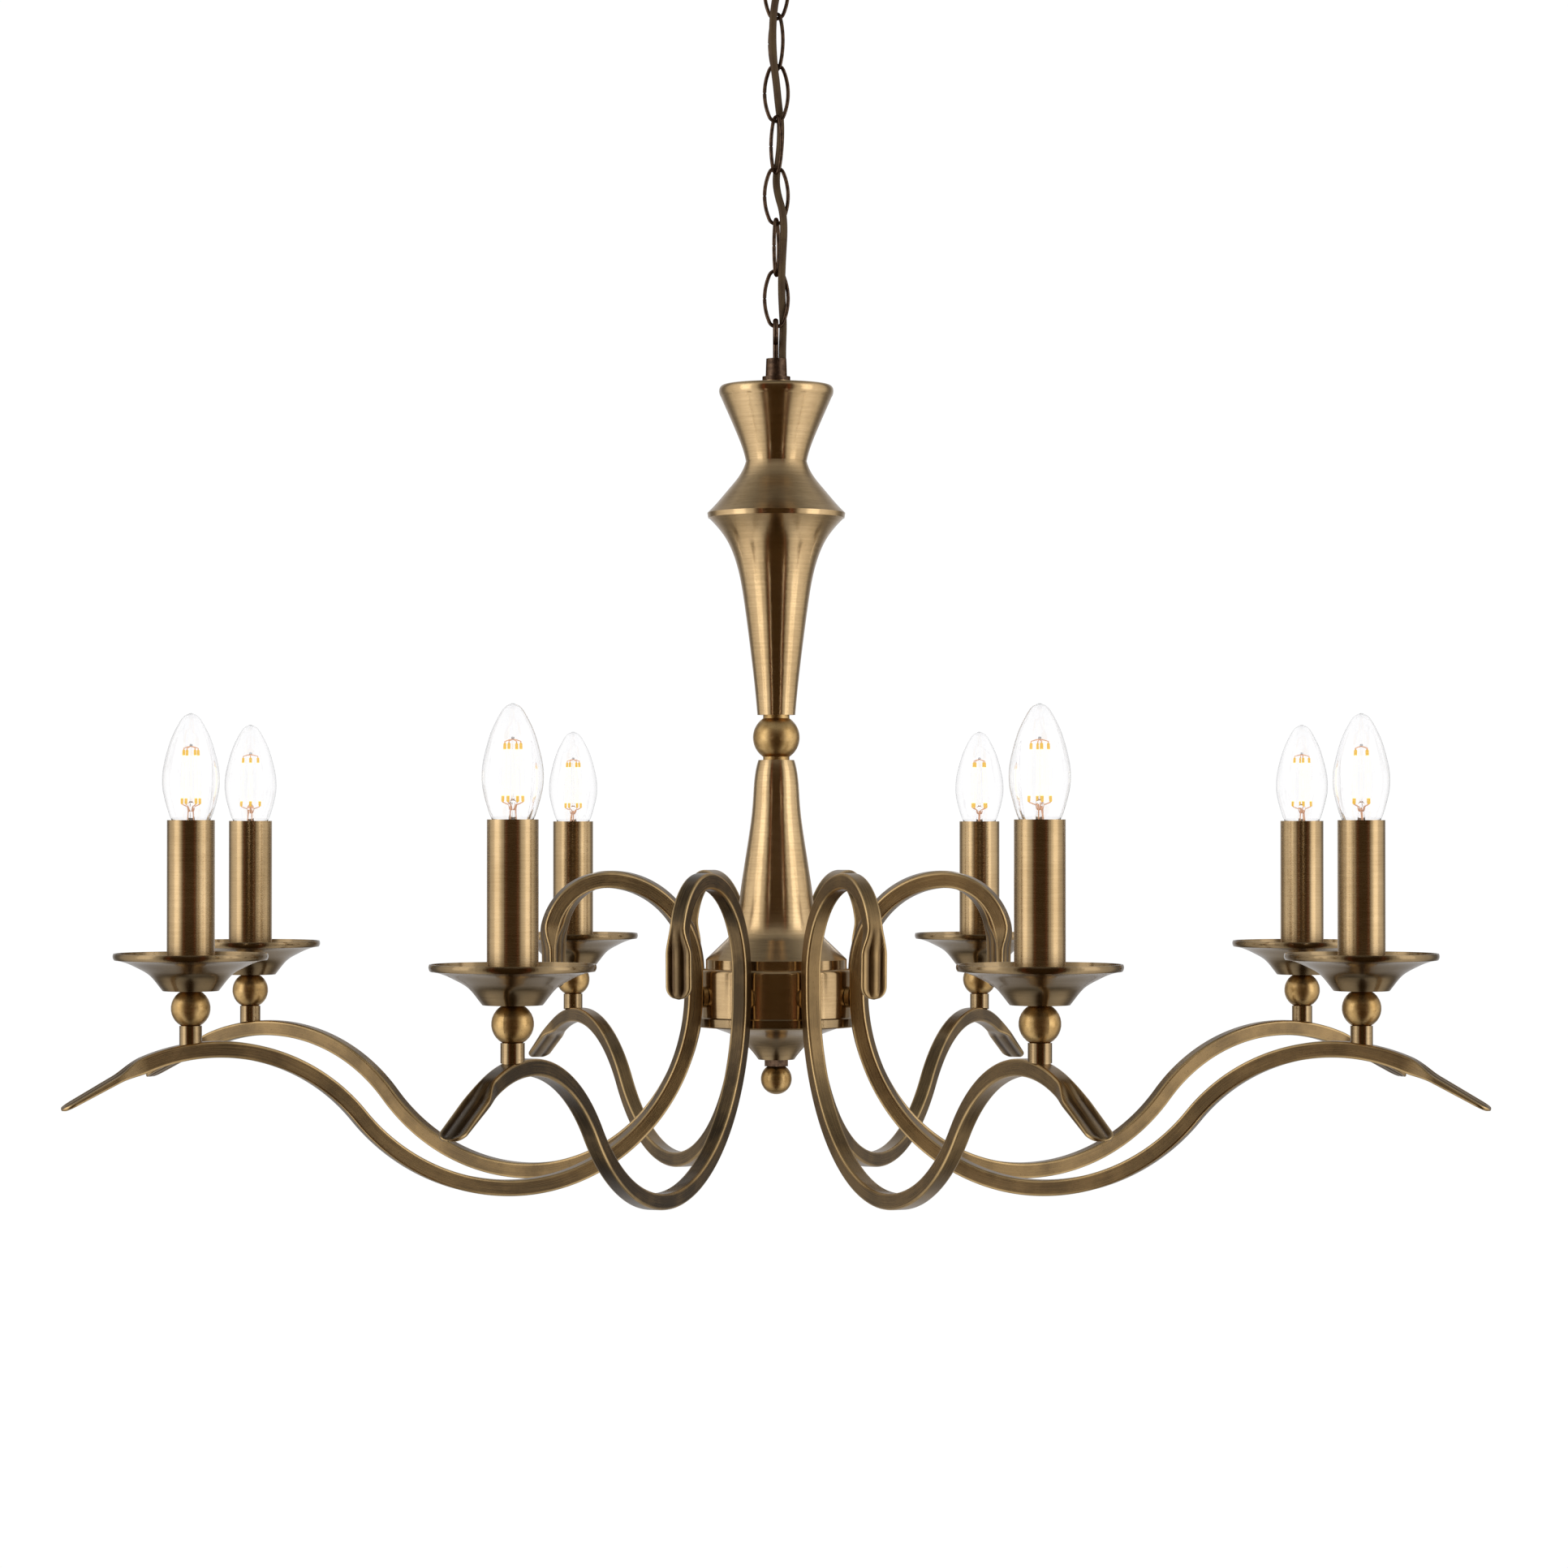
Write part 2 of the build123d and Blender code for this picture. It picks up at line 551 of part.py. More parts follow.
def lamp():
    """Candle lamp: screw cap, glass, and the filaments on their mount."""
    foot = LAMP_TOP_Z - LAMP_GLASS_H
    outline = [(6.4, 0), (8.6, 3.2), (12.7, 9.8), (16.6, 23.5), (17.45, 32.5), (16.4, 41.6),
               (12.7, 55.3), (8.6, 64.4), (4.6, 70.6), (0, LAMP_GLASS_H)]
    hollow = inset(outline[:-1], GLASS_WALL)
    hollow = [(hollow[0][0], GLASS_WALL)] + hollow[1:] + [(0, LAMP_GLASS_H - GLASS_WALL)]
    glass = turned(foot, outline) - turned(foot, hollow)
    cap = bar(LAMP_CAP_R, foot - LAMP_CAP_H, foot)
    mount = bar(2.2, foot + GLASS_WALL, foot + 17) + bar(0.6, foot + 17, foot + 50)
    mount += bar(5.4, foot + 21.2, foot + 22) + bar(5.4, foot + 49.2, foot + 51)
    for i in range(4):
        mount += Rot(0, 0, 90 * i) * bar(0.8, foot + 21.6, foot + 49.6, x=4.0)
    return glass.solids() + cap.solids() + mount.solids()


# ---- write the sub-parts -------------------------------------------------------------------------
def save(name, *shapes):
    solids = [solid for shape in shapes for solid in shape.solids()]
    export_step(Compound(children=solids), f"parts/{name}.step")


def save_each(stem, shapes):
    for number, shape in enumerate(shapes, 1):
        save(f"{stem}_{number}", shape)


os.makedirs("parts", exist_ok=True)
links = chain()
lamp_solids = Compound(children=lamp())

save("ceiling_plate", ceiling_plate())
save("ceiling_rose", ceiling_rose())
save("ceiling_loop", ceiling_loop())
save("terminal_block", terminal_block())
save("chain_link_top", links[0])
save("chain_links", *links[1:])
for flex_name, flex_points in flex_lengths().items():
    save(flex_name, flex(flex_name, flex_points))
save("column_loop", column_loop())
save("top_cup", top_cup())
save("shoulder_cone", shoulder_cone())
save("trumpet", trumpet())
save("column_ball", column_ball())
save("bell", bell())
save("hub_drum", hub_drum())
save("hub_plate", hub_plate())
save("hub_connector", hub_connector())
save("bottom_cap", bottom_cap())
save("finial_nut", finial_nut())
save("finial_ball", finial_ball())
save("centre_rod", centre_rod())
save("arm_bolts", *around(arm_bolt()))
save("arm_washers", *around(arm_washer()))
save("arm_wires", *around(arm_wire()))
save_each("arm", around(arm()))
save("candle_stems", *around(candle_stem(), CANDLE_R))
save("candle_balls", *around(candle_ball(), CANDLE_R))
save("lampholders", *around(lampholder(), CANDLE_R))
save_each("pan", around(drip_pan(), CANDLE_R))
save_each("sleeve", around(sleeve(), CANDLE_R))
save_each("bulb", around(lamp_solids, CANDLE_R))
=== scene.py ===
from math import atan2, cos, degrees, exp, hypot, pi, radians, sin, sqrt

import bpy
import numpy as np
from mathutils import Matrix, Vector


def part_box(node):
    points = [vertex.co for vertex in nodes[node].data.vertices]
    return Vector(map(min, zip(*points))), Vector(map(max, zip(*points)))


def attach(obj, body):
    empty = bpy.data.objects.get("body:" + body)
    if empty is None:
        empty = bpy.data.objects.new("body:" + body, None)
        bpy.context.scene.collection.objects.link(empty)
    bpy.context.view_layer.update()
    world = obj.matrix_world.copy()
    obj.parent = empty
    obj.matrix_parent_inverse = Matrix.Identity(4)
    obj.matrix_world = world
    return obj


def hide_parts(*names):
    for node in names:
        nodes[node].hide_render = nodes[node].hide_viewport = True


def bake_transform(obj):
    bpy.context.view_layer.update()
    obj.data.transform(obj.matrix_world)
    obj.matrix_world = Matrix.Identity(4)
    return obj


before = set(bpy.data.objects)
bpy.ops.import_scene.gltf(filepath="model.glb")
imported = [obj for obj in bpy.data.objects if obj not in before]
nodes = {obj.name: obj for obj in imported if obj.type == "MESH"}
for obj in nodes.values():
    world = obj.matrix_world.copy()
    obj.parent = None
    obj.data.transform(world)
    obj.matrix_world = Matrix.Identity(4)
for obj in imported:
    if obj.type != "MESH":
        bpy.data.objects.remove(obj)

# Eight-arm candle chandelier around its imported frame. Metres, +Z up, origin on the ceiling.
# Sizes that the CAD source gives in millimetres are written in millimetres and scaled by MM.
MM = 0.001
scene = bpy.context.scene
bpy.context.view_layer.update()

ARM_COUNT = 8
FIRST_ARM = 22.5  # degrees from +X


def arm_turn(number):
    """Turn about Z of arm 1 to 8."""
    return Matrix.Rotation(radians(FIRST_ARM + (number - 1) * 360 / ARM_COUNT), 4, "Z")


def middle_of(node):
    low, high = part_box(node)
    return (low + high) / 2


# ---- camera --------------------------------------------------------------------------------------
SENSOR_WIDTH, LENS = 36.0, 98.3  # millimetres
CAMERA_PLACE = (0.0, -2.754, -0.650)
CAMERA_TURN = (90.587, 0.0, -0.103)  # degrees, level and facing +Y at 90, 0, 0


def make_camera():
    data = bpy.data.cameras.new("camera")
    data.sensor_width = SENSOR_WIDTH
    data.lens = LENS
    camera = bpy.data.objects.new("camera", data)
    camera.location = CAMERA_PLACE
    camera.rotation_euler = [radians(turn) for turn in CAMERA_TURN]
    scene.collection.objects.link(camera)
    scene.camera = camera


# ---- mesh helpers --------------------------------------------------------------------------------
ON_AXIS = 1e-6  # a smaller radius is a point on the axis


def add_piece(name, mesh, material, place=None):
    piece = bpy.data.objects.new(name, mesh)
    scene.collection.objects.link(piece)
    if not mesh.materials:
        mesh.materials.append(material)
    if place is not None:
        piece.matrix_world = place
    return piece


def mesh_of(name, points, faces, **values):
    """Smooth mesh with one float attribute for each named list of values."""
    mesh = bpy.data.meshes.new(name)
    mesh.from_pydata([tuple(p) for p in points], [], faces)
    mesh.update()
    mesh.polygons.foreach_set("use_smooth", [True] * len(mesh.polygons))
    for key, numbers in values.items():
        attribute = mesh.attributes.new(key, "FLOAT", "POINT")
        attribute.data.foreach_set("value", np.array(numbers, np.float32))
    return mesh


def skin(rings, closed=False):
    """Points and faces of a skin over rings of equal count, capped, or closed from last ring to first."""
    count = len(rings[0])
    points = [p for ring in rings for p in ring]
    faces = []
    for a in range(len(rings) if closed else len(rings) - 1):
        b = (a + 1) % len(rings)
        for i in range(count):
            j = (i + 1) % count
            faces.append((a * count + i, a * count + j, b * count + j, b * count + i))
    if not closed:
        faces.append(tuple(reversed(range(count))))
        faces.append(tuple((len(rings) - 1) * count + i for i in range(count)))
    return points, faces


def circle_ring(centre, side, up, radius, count):
    turns = [2 * pi * i / count for i in range(count)]
    return [centre + side * (radius * cos(t)) + up * (radius * sin(t)) for t in turns]


def tube_rings(line, radius, count):
    """Rings of a round tube along a line of points, carried along without twist."""
    runs = [(b - a).normalized() for a, b in zip(line, line[1:])]
    tangents = [runs[0]] + [(a + b).normalized() for a, b in zip(runs, runs[1:])] + [runs[-1]]
    side = tangents[0].orthogonal().normalized()
    rings = []
    for point, tangent in zip(line, tangents):
        side = (side - tangent * side.dot(tangent)).normalized()
        rings.append(circle_ring(point, side, tangent.cross(side), radius, count))
    return rings


def tube_mesh(name, lines, radius, count):
    """One mesh of several round tubes."""
    points, faces = [], []
    for line in lines:
        more, skins = skin(tube_rings(line, radius, count))
        faces += [tuple(i + len(points) for i in face) for face in skins]
        points += more
    return mesh_of(name, points, faces)


def between(a, b, c, d, t):
    """Catmull-Rom value from b at t = 0 to c at t = 1."""
    square = 2 * a - 5 * b + 4 * c - d
    cube = 3 * b - a - 3 * c + d
    return 0.5 * (2 * b + (c - a) * t + square * t * t + cube * t ** 3)


def smooth_line(points, steps):
    """(a, b) points of a smooth line through the given ones."""
    before = (2 * points[0][0] - points[1][0], 2 * points[0][1] - points[1][1])
    after = (2 * points[-1][0] - points[-2][0], 2 * points[-1][1] - points[-2][1])
    padded = [before, *points, after]
    line = []
    for four in zip(padded, padded[1:], padded[2:], padded[3:]):
        for i in range(steps):
            line.append(tuple(between(*values, i / steps) for values in zip(*four)))
    return line + [tuple(points[-1])]


def lathe_mesh(name, profile, count, closed=False):
    """Turned mesh from a (radius, height) profile in millimetres; a radius of 0 is one point."""
    points, faces, starts = [], [], []
    for radius, height in profile:
        starts.append(len(points))
        turns = [0.0] if radius < ON_AXIS else [2 * pi * i / count for i in range(count)]
        points += [(radius * cos(t) * MM, radius * sin(t) * MM, height * MM) for t in turns]
    last = len(profile) if closed else len(profile) - 1
    for a in range(last):
        b = (a + 1) % len(profile)
        low, high = starts[a], starts[b]
        for i in range(count):
            j = (i + 1) % count
            ring_a = [low] if profile[a][0] < ON_AXIS else [low + i, low + j]
            ring_b = [high] if profile[b][0] < ON_AXIS else [high + j, high + i]
            if len(ring_a) + len(ring_b) > 2:
                faces.append(tuple(ring_a + ring_b))
    return mesh_of(name, points, faces)


def spline_points(route):
    """Points read from the NURBS line that has the route's points as its control points."""
    curve = bpy.data.curves.new("route", "CURVE")
    curve.dimensions = "3D"
    curve.resolution_u = 10
    spline = curve.splines.new("NURBS")
    spline.points.add(len(route) - 1)
    for place, point in zip(spline.points, route):
        place.co = (*point, 1.0)
    spline.order_u = 3
    spline.use_endpoint_u = True
    holder = bpy.data.objects.new("route", curve)
    scene.collection.objects.link(holder)
    mesh = bpy.data.meshes.new_from_object(holder)
    line = [v.co.copy() for v in mesh.vertices]
    bpy.data.objects.remove(holder)
    bpy.data.curves.remove(curve)
    bpy.data.meshes.remove(mesh)
    return line


# ---- node helpers --------------------------------------------------------------------------------
class Shader:
    """A material's node tree, with short calls for the nodes that this scene needs.

    Named values go to the Principled node's sockets, with _ for each space.
    """

    def __init__(self, name, **fixed):
        self.material = bpy.data.materials.new(name)
        self.material.use_nodes = True
        self.tree = self.material.node_tree
        self.tree.nodes.clear()
        self.surface = self.node("ShaderNodeBsdfPrincipled")
        output = self.node("ShaderNodeOutputMaterial")
        self.tree.links.new(self.surface.outputs[0], output.inputs["Surface"])
        self.set(**fixed)

    def node(self, kind, **settings):
        made = self.tree.nodes.new(kind)
        for key, value in settings.items():
            setattr(made, key, value)
        return made

    def put(self, socket, value):
        if isinstance(value, bpy.types.NodeSocket):
            self.tree.links.new(value, socket)
        else:
            socket.default_value = value

    def math(self, operation, a, b=0.0, clamp=False):
        made = self.node("ShaderNodeMath", operation=operation, use_clamp=clamp)
        self.put(made.inputs[0], a)
        self.put(made.inputs[1], b)
        return made.outputs[0]

    def ramp(self, value, low, high, to_low=0.0, to_high=1.0):
        """Value from low to high taken smoothly to to_low and to_high."""
        made = self.node("ShaderNodeMapRange", interpolation_type="SMOOTHSTEP")
        for socket, number in zip(made.inputs, (value, low, high, to_low, to_high)):
            self.put(socket, number)
        return made.outputs[0]

    def mix(self, share, a, b):
        made = self.node("ShaderNodeMix", data_type="RGBA")
        self.put(made.inputs["Factor"], share)
        self.put(made.inputs[6], a)
        self.put(made.inputs[7], b)
        return made.outputs[2]

    def place(self, scale):
        """Object coordinates, stretched."""
        made = self.node("ShaderNodeMapping")
        self.put(made.inputs["Vector"], self.node("ShaderNodeTexCoord").outputs["Object"])
        self.put(made.inputs["Scale"], scale)
        return made.outputs[0]

    def noise(self, vector, detail=2.0, roughness=0.5):
        """Noise with grains one unit of the vector across."""
        made = self.node("ShaderNodeTexNoise")
        self.put(made.inputs["Vector"], vector)
        self.put(made.inputs["Scale"], 1.0)
        self.put(made.inputs["Detail"], detail)
        self.put(made.inputs["Roughness"], roughness)
        return made.outputs["Fac"]

    def attribute(self, name):
        return self.node("ShaderNodeAttribute", attribute_name=name).outputs["Fac"]

    def bump(self, height, strength, distance):
        made = self.node("ShaderNodeBump")
        self.put(made.inputs["Strength"], strength)
        self.put(made.inputs["Distance"], distance)
        self.put(made.inputs["Height"], height)
        self.put(self.surface.inputs["Normal"], made.outputs[0])

    def set(self, **values):
        for key, value in values.items():
            self.put(self.surface.inputs[key.replace("_", " ")], value)
        return self.material


def colour(red, green, blue):
    return (red, green, blue, 1.0)


# ---- materials -----------------------------------------------------------------------------------
# dark patina of the fine specks and pits, also used as painted shade in the arms' leaf channels
DARK_PATINA_AND_SHADE = colour(0.050, 0.026, 0.012)
# gold of the worn corners, also used for painted glints along the arms' leaves
WORN_GOLD_AND_GLINT = colour(0.74, 0.52, 0.25)


def brushed_brass(name, shade=1.0, smoothest=0.17):
    """Lacquered antique brass brushed round the part, cloudy, with fine dark specks; a shade under 1 darkens
    it all as painted shade.
    """
    shader = Shader(name, Metallic=1.0, Coat_Weight=0.2, Coat_Roughness=0.06)
    shader.set(Anisotropic=0.7, Anisotropic_Rotation=0.25)
    tangent = shader.node("ShaderNodeTangent", direction_type="RADIAL", axis="Z")
    shader.set(Tangent=tangent.outputs[0])
    lines = shader.noise(shader.place((90, 90, 7000)), detail=2.0, roughness=0.6)
    broad = shader.noise(shader.place((16, 16, 900)), detail=2.0)
    clouds = shader.noise(shader.place((34, 34, 22)), detail=4.0, roughness=0.6)
    specks = shader.noise(shader.place((1300, 1300, 1300)), detail=1.0)
    lined = shader.ramp(lines, 0.36, 0.66, 0.0, 0.30)
    brushed = shader.math("ADD", lined, shader.ramp(broad, 0.3, 0.7, 0.0, 0.20))
    tone = shader.math("ADD", brushed, shader.ramp(clouds, 0.3, 0.72, 0.0, 0.5), clamp=True)
    dark = colour(0.44 * shade, 0.300 * shade, 0.148 * shade)
    light = colour(0.68 * shade, 0.492 * shade, 0.272 * shade)
    base = shader.mix(tone, dark, light)
    base = shader.mix(shader.ramp(specks, 0.70, 0.80, 0.0, 0.5), base, DARK_PATINA_AND_SHADE)
    rough = shader.ramp(lines, 0.3, 0.7, smoothest, smoothest + 0.08)
    shader.bump(lines, 0.04, 0.00003)
    return shader.set(Base_Color=base, Roughness=rough)


def pitted_brass():
    """Golden brass of the turned balls, faintly brushed, with tiny pits."""
    shader = Shader("pitted_brass", Metallic=1.0, Coat_Weight=0.15, Coat_Roughness=0.08)
    lines = shader.noise(shader.place((60, 60, 2400)), detail=2.0)
    pits = shader.noise(shader.place((1700, 1700, 1700)), detail=2.0, roughness=0.6)
    clouds = shader.noise(shader.place((120, 120, 120)), detail=3.0)
    base = shader.mix(shader.ramp(clouds, 0.3, 0.7), colour(0.38, 0.235, 0.085), colour(0.60, 0.405, 0.175))
    base = shader.mix(shader.ramp(pits, 0.60, 0.72, 0.0, 0.7), base, DARK_PATINA_AND_SHADE)
    rough = shader.ramp(lines, 0.3, 0.7, 0.28, 0.38)
    shader.bump(shader.math("SUBTRACT", lines, shader.ramp(pits, 0.6, 0.75)), 0.15, 0.00008)
    return shader.set(Base_Color=base, Roughness=rough)


def arm_brass():
    """Bent tube: grey-brown patina streaked along the tube, rubbed to gold on its corners, with painted
    glints along the pressed leaves' edges, painted shade in their channels, and each arm made lighter or
    darker by its own painted light.
    """
    shader = Shader("arm_brass", Metallic=1.0, Coat_Weight=0.15, Coat_Roughness=0.1)
    along = shader.attribute("along")
    around = shader.attribute("around")
    place = shader.node("ShaderNodeCombineXYZ")
    shader.put(place.inputs[0], shader.math("MULTIPLY", along, 26.0))
    shader.put(place.inputs[1], shader.math("MULTIPLY", around, 2600.0))
    streaks = shader.noise(place.outputs[0], detail=3.0, roughness=0.65)
    patches = shader.noise(shader.place((30, 30, 30)), detail=4.0, roughness=0.6)
    specks = shader.noise(shader.place((1100, 1100, 1100)), detail=1.0)
    streaked = shader.ramp(streaks, 0.34, 0.68, 0.0, 0.35)
    patched = shader.math("ADD", streaked, shader.ramp(patches, 0.34, 0.68, 0.0, 0.45))
    # each arm's painted light lightens or darkens its whole tone
    tone = shader.math("ADD", patched, shader.attribute("golden"), clamp=True)
    base = shader.mix(tone, colour(0.082, 0.056, 0.030), colour(0.345, 0.228, 0.104))
    base = shader.mix(shader.ramp(specks, 0.68, 0.76, 0.0, 0.5), base, DARK_PATINA_AND_SHADE)
    # worn gold on the corners, and painted glints along the leaves' edges
    rubbed_and_glint = shader.math("MULTIPLY", shader.attribute("wear"), shader.ramp(patches, 0.25, 0.6, 0.5, 1.0))
    base = shader.mix(rubbed_and_glint, base, WORN_GOLD_AND_GLINT)
    # painted shade darkens the leaves' pressed channels
    base = shader.mix(shader.attribute("crease"), base, DARK_PATINA_AND_SHADE)
    rough = shader.ramp(streaks, 0.3, 0.7, 0.25, 0.40)
    shader.bump(streaks, 0.10, 0.00008)
    return shader.set(Base_Color=base, Roughness=rough)


def dark_bronze():
    """Dark bronzed metal of the rose, chain and loops, smooth and a little mottled."""
    shader = Shader("dark_bronze", Metallic=1.0, Specular_Tint=colour(0.30, 0.22, 0.18))
    mottle = shader.noise(shader.place((260, 260, 260)), detail=4.0, roughness=0.6)
    fine = shader.noise(shader.place((2400, 2400, 900)), detail=2.0)
    dark, light = colour(0.062, 0.040, 0.028), colour(0.150, 0.094, 0.062)
    base = shader.mix(shader.ramp(mottle, 0.32, 0.68), dark, light)
    rough = shader.ramp(fine, 0.3, 0.7, 0.30, 0.46)
    shader.bump(fine, 0.1, 0.0001)
    return shader.set(Base_Color=base, Roughness=rough)


def zinc_steel():
    """Plated steel with a faint spangle."""
    shader = Shader("zinc_steel", Metallic=1.0)
    spangle = shader.noise(shader.place((420, 420, 420)), detail=3.0)
    base = shader.mix(spangle, colour(0.42, 0.42, 0.40), colour(0.66, 0.65, 0.60))
    rough = shader.ramp(spangle, 0.3, 0.7, 0.28, 0.48)
    shader.bump(spangle, 0.1, 0.0001)
    return shader.set(Base_Color=base, Roughness=rough)


def flex_cover():
    """Dark gold-brown cover, mottled and faintly ribbed along its length."""
    shader = Shader("flex_cover", Roughness=0.6, IOR=1.35)
    around = shader.attribute("around")
    ribs = shader.node("ShaderNodeMath", operation="SINE")
    shader.put(ribs.inputs[0], shader.math("MULTIPLY", around, float(FLEX_RIBS)))
    mottle = shader.noise(shader.place((180, 180, 60)), detail=4.0)
    cover, core = colour(0.036, 0.021, 0.006), colour(0.058, 0.023, 0.009)
    base = shader.mix(shader.ramp(ribs.outputs[0], -0.4, 0.9), cover, core)
    base = shader.mix(shader.ramp(mottle, 0.3, 0.7, 0.0, 0.6), base, colour(0.080, 0.049, 0.015))
    shader.bump(shader.math("ADD", ribs.outputs[0], mottle), 0.12, 0.0002)
    return shader.set(Base_Color=base)


def moulded(name, low, high):
    """Matt moulded plastic, finely grained."""
    shader = Shader(name, IOR=1.5)
    grain = shader.noise(shader.place((1200, 1200, 1200)), detail=3.0)
    rough = shader.ramp(grain, 0.3, 0.7, 0.4, 0.6)
    shader.bump(grain, 0.1, 0.0001)
    return shader.set(Base_Color=shader.mix(grain, low, high), Roughness=rough)


def clear_glass(name, rough=0.0):
    """Clear blown glass, with a trace of unevenness in its surface."""
    shader = Shader(name, Transmission_Weight=1.0, IOR=1.45, Roughness=rough)
    waves = shader.noise(shader.place((40, 40, 18)), detail=1.0)
    base = shader.mix(waves, colour(0.988, 0.987, 0.992), colour(0.994, 0.992, 0.996))
    shader.bump(waves, 0.02, 0.0002)
    return shader.set(Base_Color=base)


def filament_glow():
    """Lit filament, warm white between dull orange-yellow ends."""
    shader = Shader("filament_glow", Roughness=0.5, Emission_Strength=1.0)
    ends = shader.attribute("ends")
    grain = shader.noise(shader.place((800, 800, 1400)), detail=2.0)
    lit = shader.mix(ends, colour(1.90, 1.60, 0.92), colour(0.78, 0.47, 0.05))
    lit = shader.mix(shader.ramp(grain, 0.3, 0.7, 0.0, 0.12), lit, colour(1.0, 0.70, 0.25))
    base = shader.mix(ends, colour(0.5, 0.40, 0.15), colour(0.16, 0.09, 0.01))
    return shader.set(Emission_Color=lit, Base_Color=base)


def copper_wire():
    """Coppered support wire, with a painted warm glow standing in for the filaments' light on it."""
    shader = Shader("copper_wire", Metallic=0.5)
    # painted glow: the wire emits a little warm light
    shader.set(Emission_Color=colour(0.95, 0.50, 0.28), Emission_Strength=0.35)
    mottle = shader.noise(shader.place((900, 900, 900)), detail=2.0)
    base = shader.mix(mottle, colour(0.42, 0.21, 0.11), colour(0.62, 0.35, 0.20))
    rough = shader.ramp(mottle, 0.3, 0.7, 0.2, 0.4)
    return shader.set(Base_Color=base, Roughness=rough)


def studio_white():
    """Plain white floor, lifted a little by its own light."""
    shader = Shader("studio_white", Roughness=0.9)
    shader.set(Emission_Color=colour(1.0, 1.0, 1.0), Emission_Strength=0.35)
    grain = shader.noise(shader.place((3, 3, 3)))
    return shader.set(Base_Color=shader.mix(grain, colour(0.93, 0.93, 0.93), colour(0.96, 0.96, 0.96)))


# ---- flex: the route of the CAD source, in millimetres ---------------------------------------------
FLEX_D = 4.8
FLEX_RIBS = 12  # round its cover
FLEX_ROUTE = [
    (3.95, 0.0, -71.8),
    (3.95, 0.0, -77.6),
    (4.1, -1.6, -84.0),
    (4.3, -4.6, -94.0),
    (2.6, -6.6, -105.0),
    (-0.6, -6.2, -117.0),
    (-2.2, -5.6, -130.0),
    (-2.4, -5.7, -144.0),
    (-1.6, -6.2, -159.0),
    (0.2, -2.6, -172.0),
    (1.3, 2.4, -183.0),
    (2.9, 5.7, -195.0),
    (2.6, 5.9, -209.0),
    (1.2, 7.3, -221.0),
    (-0.4, 5.7, -232.0),
    (1.0, 1.2, -242.5),
    (4.1, -3.8, -253.0),
    (5.0, -5.4, -265.0),
    (4.2, -5.0, -279.0),
    (3.5, -5.3, -292.0),
    (3.4, -1.4, -304.0),
    (3.9, 3.2, -315.5),
    (4.5, 4.4, -325.0),
    (4.1, 1.6, -336.5),
    (3.95, 0.0, -342.4),
    (3.95, 0.0, -348.0),
]
FLEX_SPLITS = (4, 17)  # the last route points of the top and middle lengths


def flex_routes():
    points = [Vector(p) * MM for p in FLEX_ROUTE]
    first, second = FLEX_SPLITS
    upper = (points[first] + points[first + 1]) / 2
    lower = (points[second] + points[second + 1]) / 2
    return {
        "flex_top": points[:first + 1] + [upper],
        "flex_middle": [upper] + points[first + 1:second + 1] + [lower],
        "flex_bottom": [lower] + points[second + 1:],
    }


def make_flex(material):
    count = 24  # points round the tube
    for node, route in flex_routes().items():
        line = spline_points(route)
        points, faces = skin(tube_rings(line, FLEX_D / 2 * MM, count))
        around = [2 * pi * (i % count) / count for i in range(len(points))]
        piece = add_piece(f"{node}_cover", mesh_of(node, points, faces, around=around), material)
        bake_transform(piece)
        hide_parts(node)


# ---- chain links -----------------------------------------------------------------------------------
LINK_TURN = (0, -56, 0, -63, 0, 79, 0)  # degrees about Z, top link first
LINK_PITCH = 33.1
LINK_WIRE, WIRE_SIDES = 2.4, 20
LINK_HALF_LENGTH, LINK_HALF_WIDTH, LINK_END_R = 18.0, 7.55, 4.9
JOINT_WIDTH, JOINT_DEPTH = 0.28, 0.34  # of the butt joint's groove; its depth is a share of the radius
END_STEPS, SIDE_STEPS, JOINT_SIDE_STEPS = 22, 24, 96  # rings along each arc


def link_mesh():
    """Oval wire link with the groove of its butt joint half way up the left side."""
    end_z = LINK_HALF_LENGTH - LINK_END_R
    side_r = (LINK_HALF_WIDTH ** 2 + end_z ** 2 - LINK_END_R ** 2) / (2 * (LINK_HALF_WIDTH - LINK_END_R))
    side_x = side_r - LINK_HALF_WIDTH
    spread = degrees(atan2(end_z, side_x))
    arcs = [
        (-side_x, 0, side_r, -spread, spread, SIDE_STEPS),
        (0, end_z, LINK_END_R, spread, 180 - spread, END_STEPS),
        (side_x, 0, side_r, 180 - spread, 180 + spread, JOINT_SIDE_STEPS),
        (0, -end_z, LINK_END_R, 180 + spread, 360 - spread, END_STEPS),
    ]
    rings = []
    for x, z, r, start, end, steps in arcs:
        for i in range(steps):
            share = i / steps
            if steps == JOINT_SIDE_STEPS:  # closer together towards the joint
                share = 0.5 + 4 * (share - 0.5) ** 3
            t = radians(start + (end - start) * share)
            outward = Vector((cos(t), 0, sin(t)))
            centre = Vector((x, 0, z)) + outward * r
            off_joint = hypot(centre.x + LINK_HALF_WIDTH, centre.z) / JOINT_WIDTH
            radius = LINK_WIRE / 2 * (1 - JOINT_DEPTH * exp(-off_joint ** 2))
            rings.append(circle_ring(centre * MM, outward, Vector((0, 1, 0)), radius * MM, WIRE_SIDES))
    points, faces = skin(rings, closed=True)
    return mesh_of("chain_link", points, faces)


def make_chain(material):
    mesh = link_mesh()
    top = middle_of("chain_link_top").z
    for number, turn in enumerate(LINK_TURN, 1):
        place = Matrix.Translation((0, 0, top - LINK_PITCH * MM * (number - 1)))
        link = add_piece(f"link_{number}", mesh, material, place @ Matrix.Rotation(radians(turn), 4, "Z"))
        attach(link, "upper_link" if number == 1 else "chain")
        if number == 1:
            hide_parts("chain_link_top")
        if number == 2:
            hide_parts("chain_links")


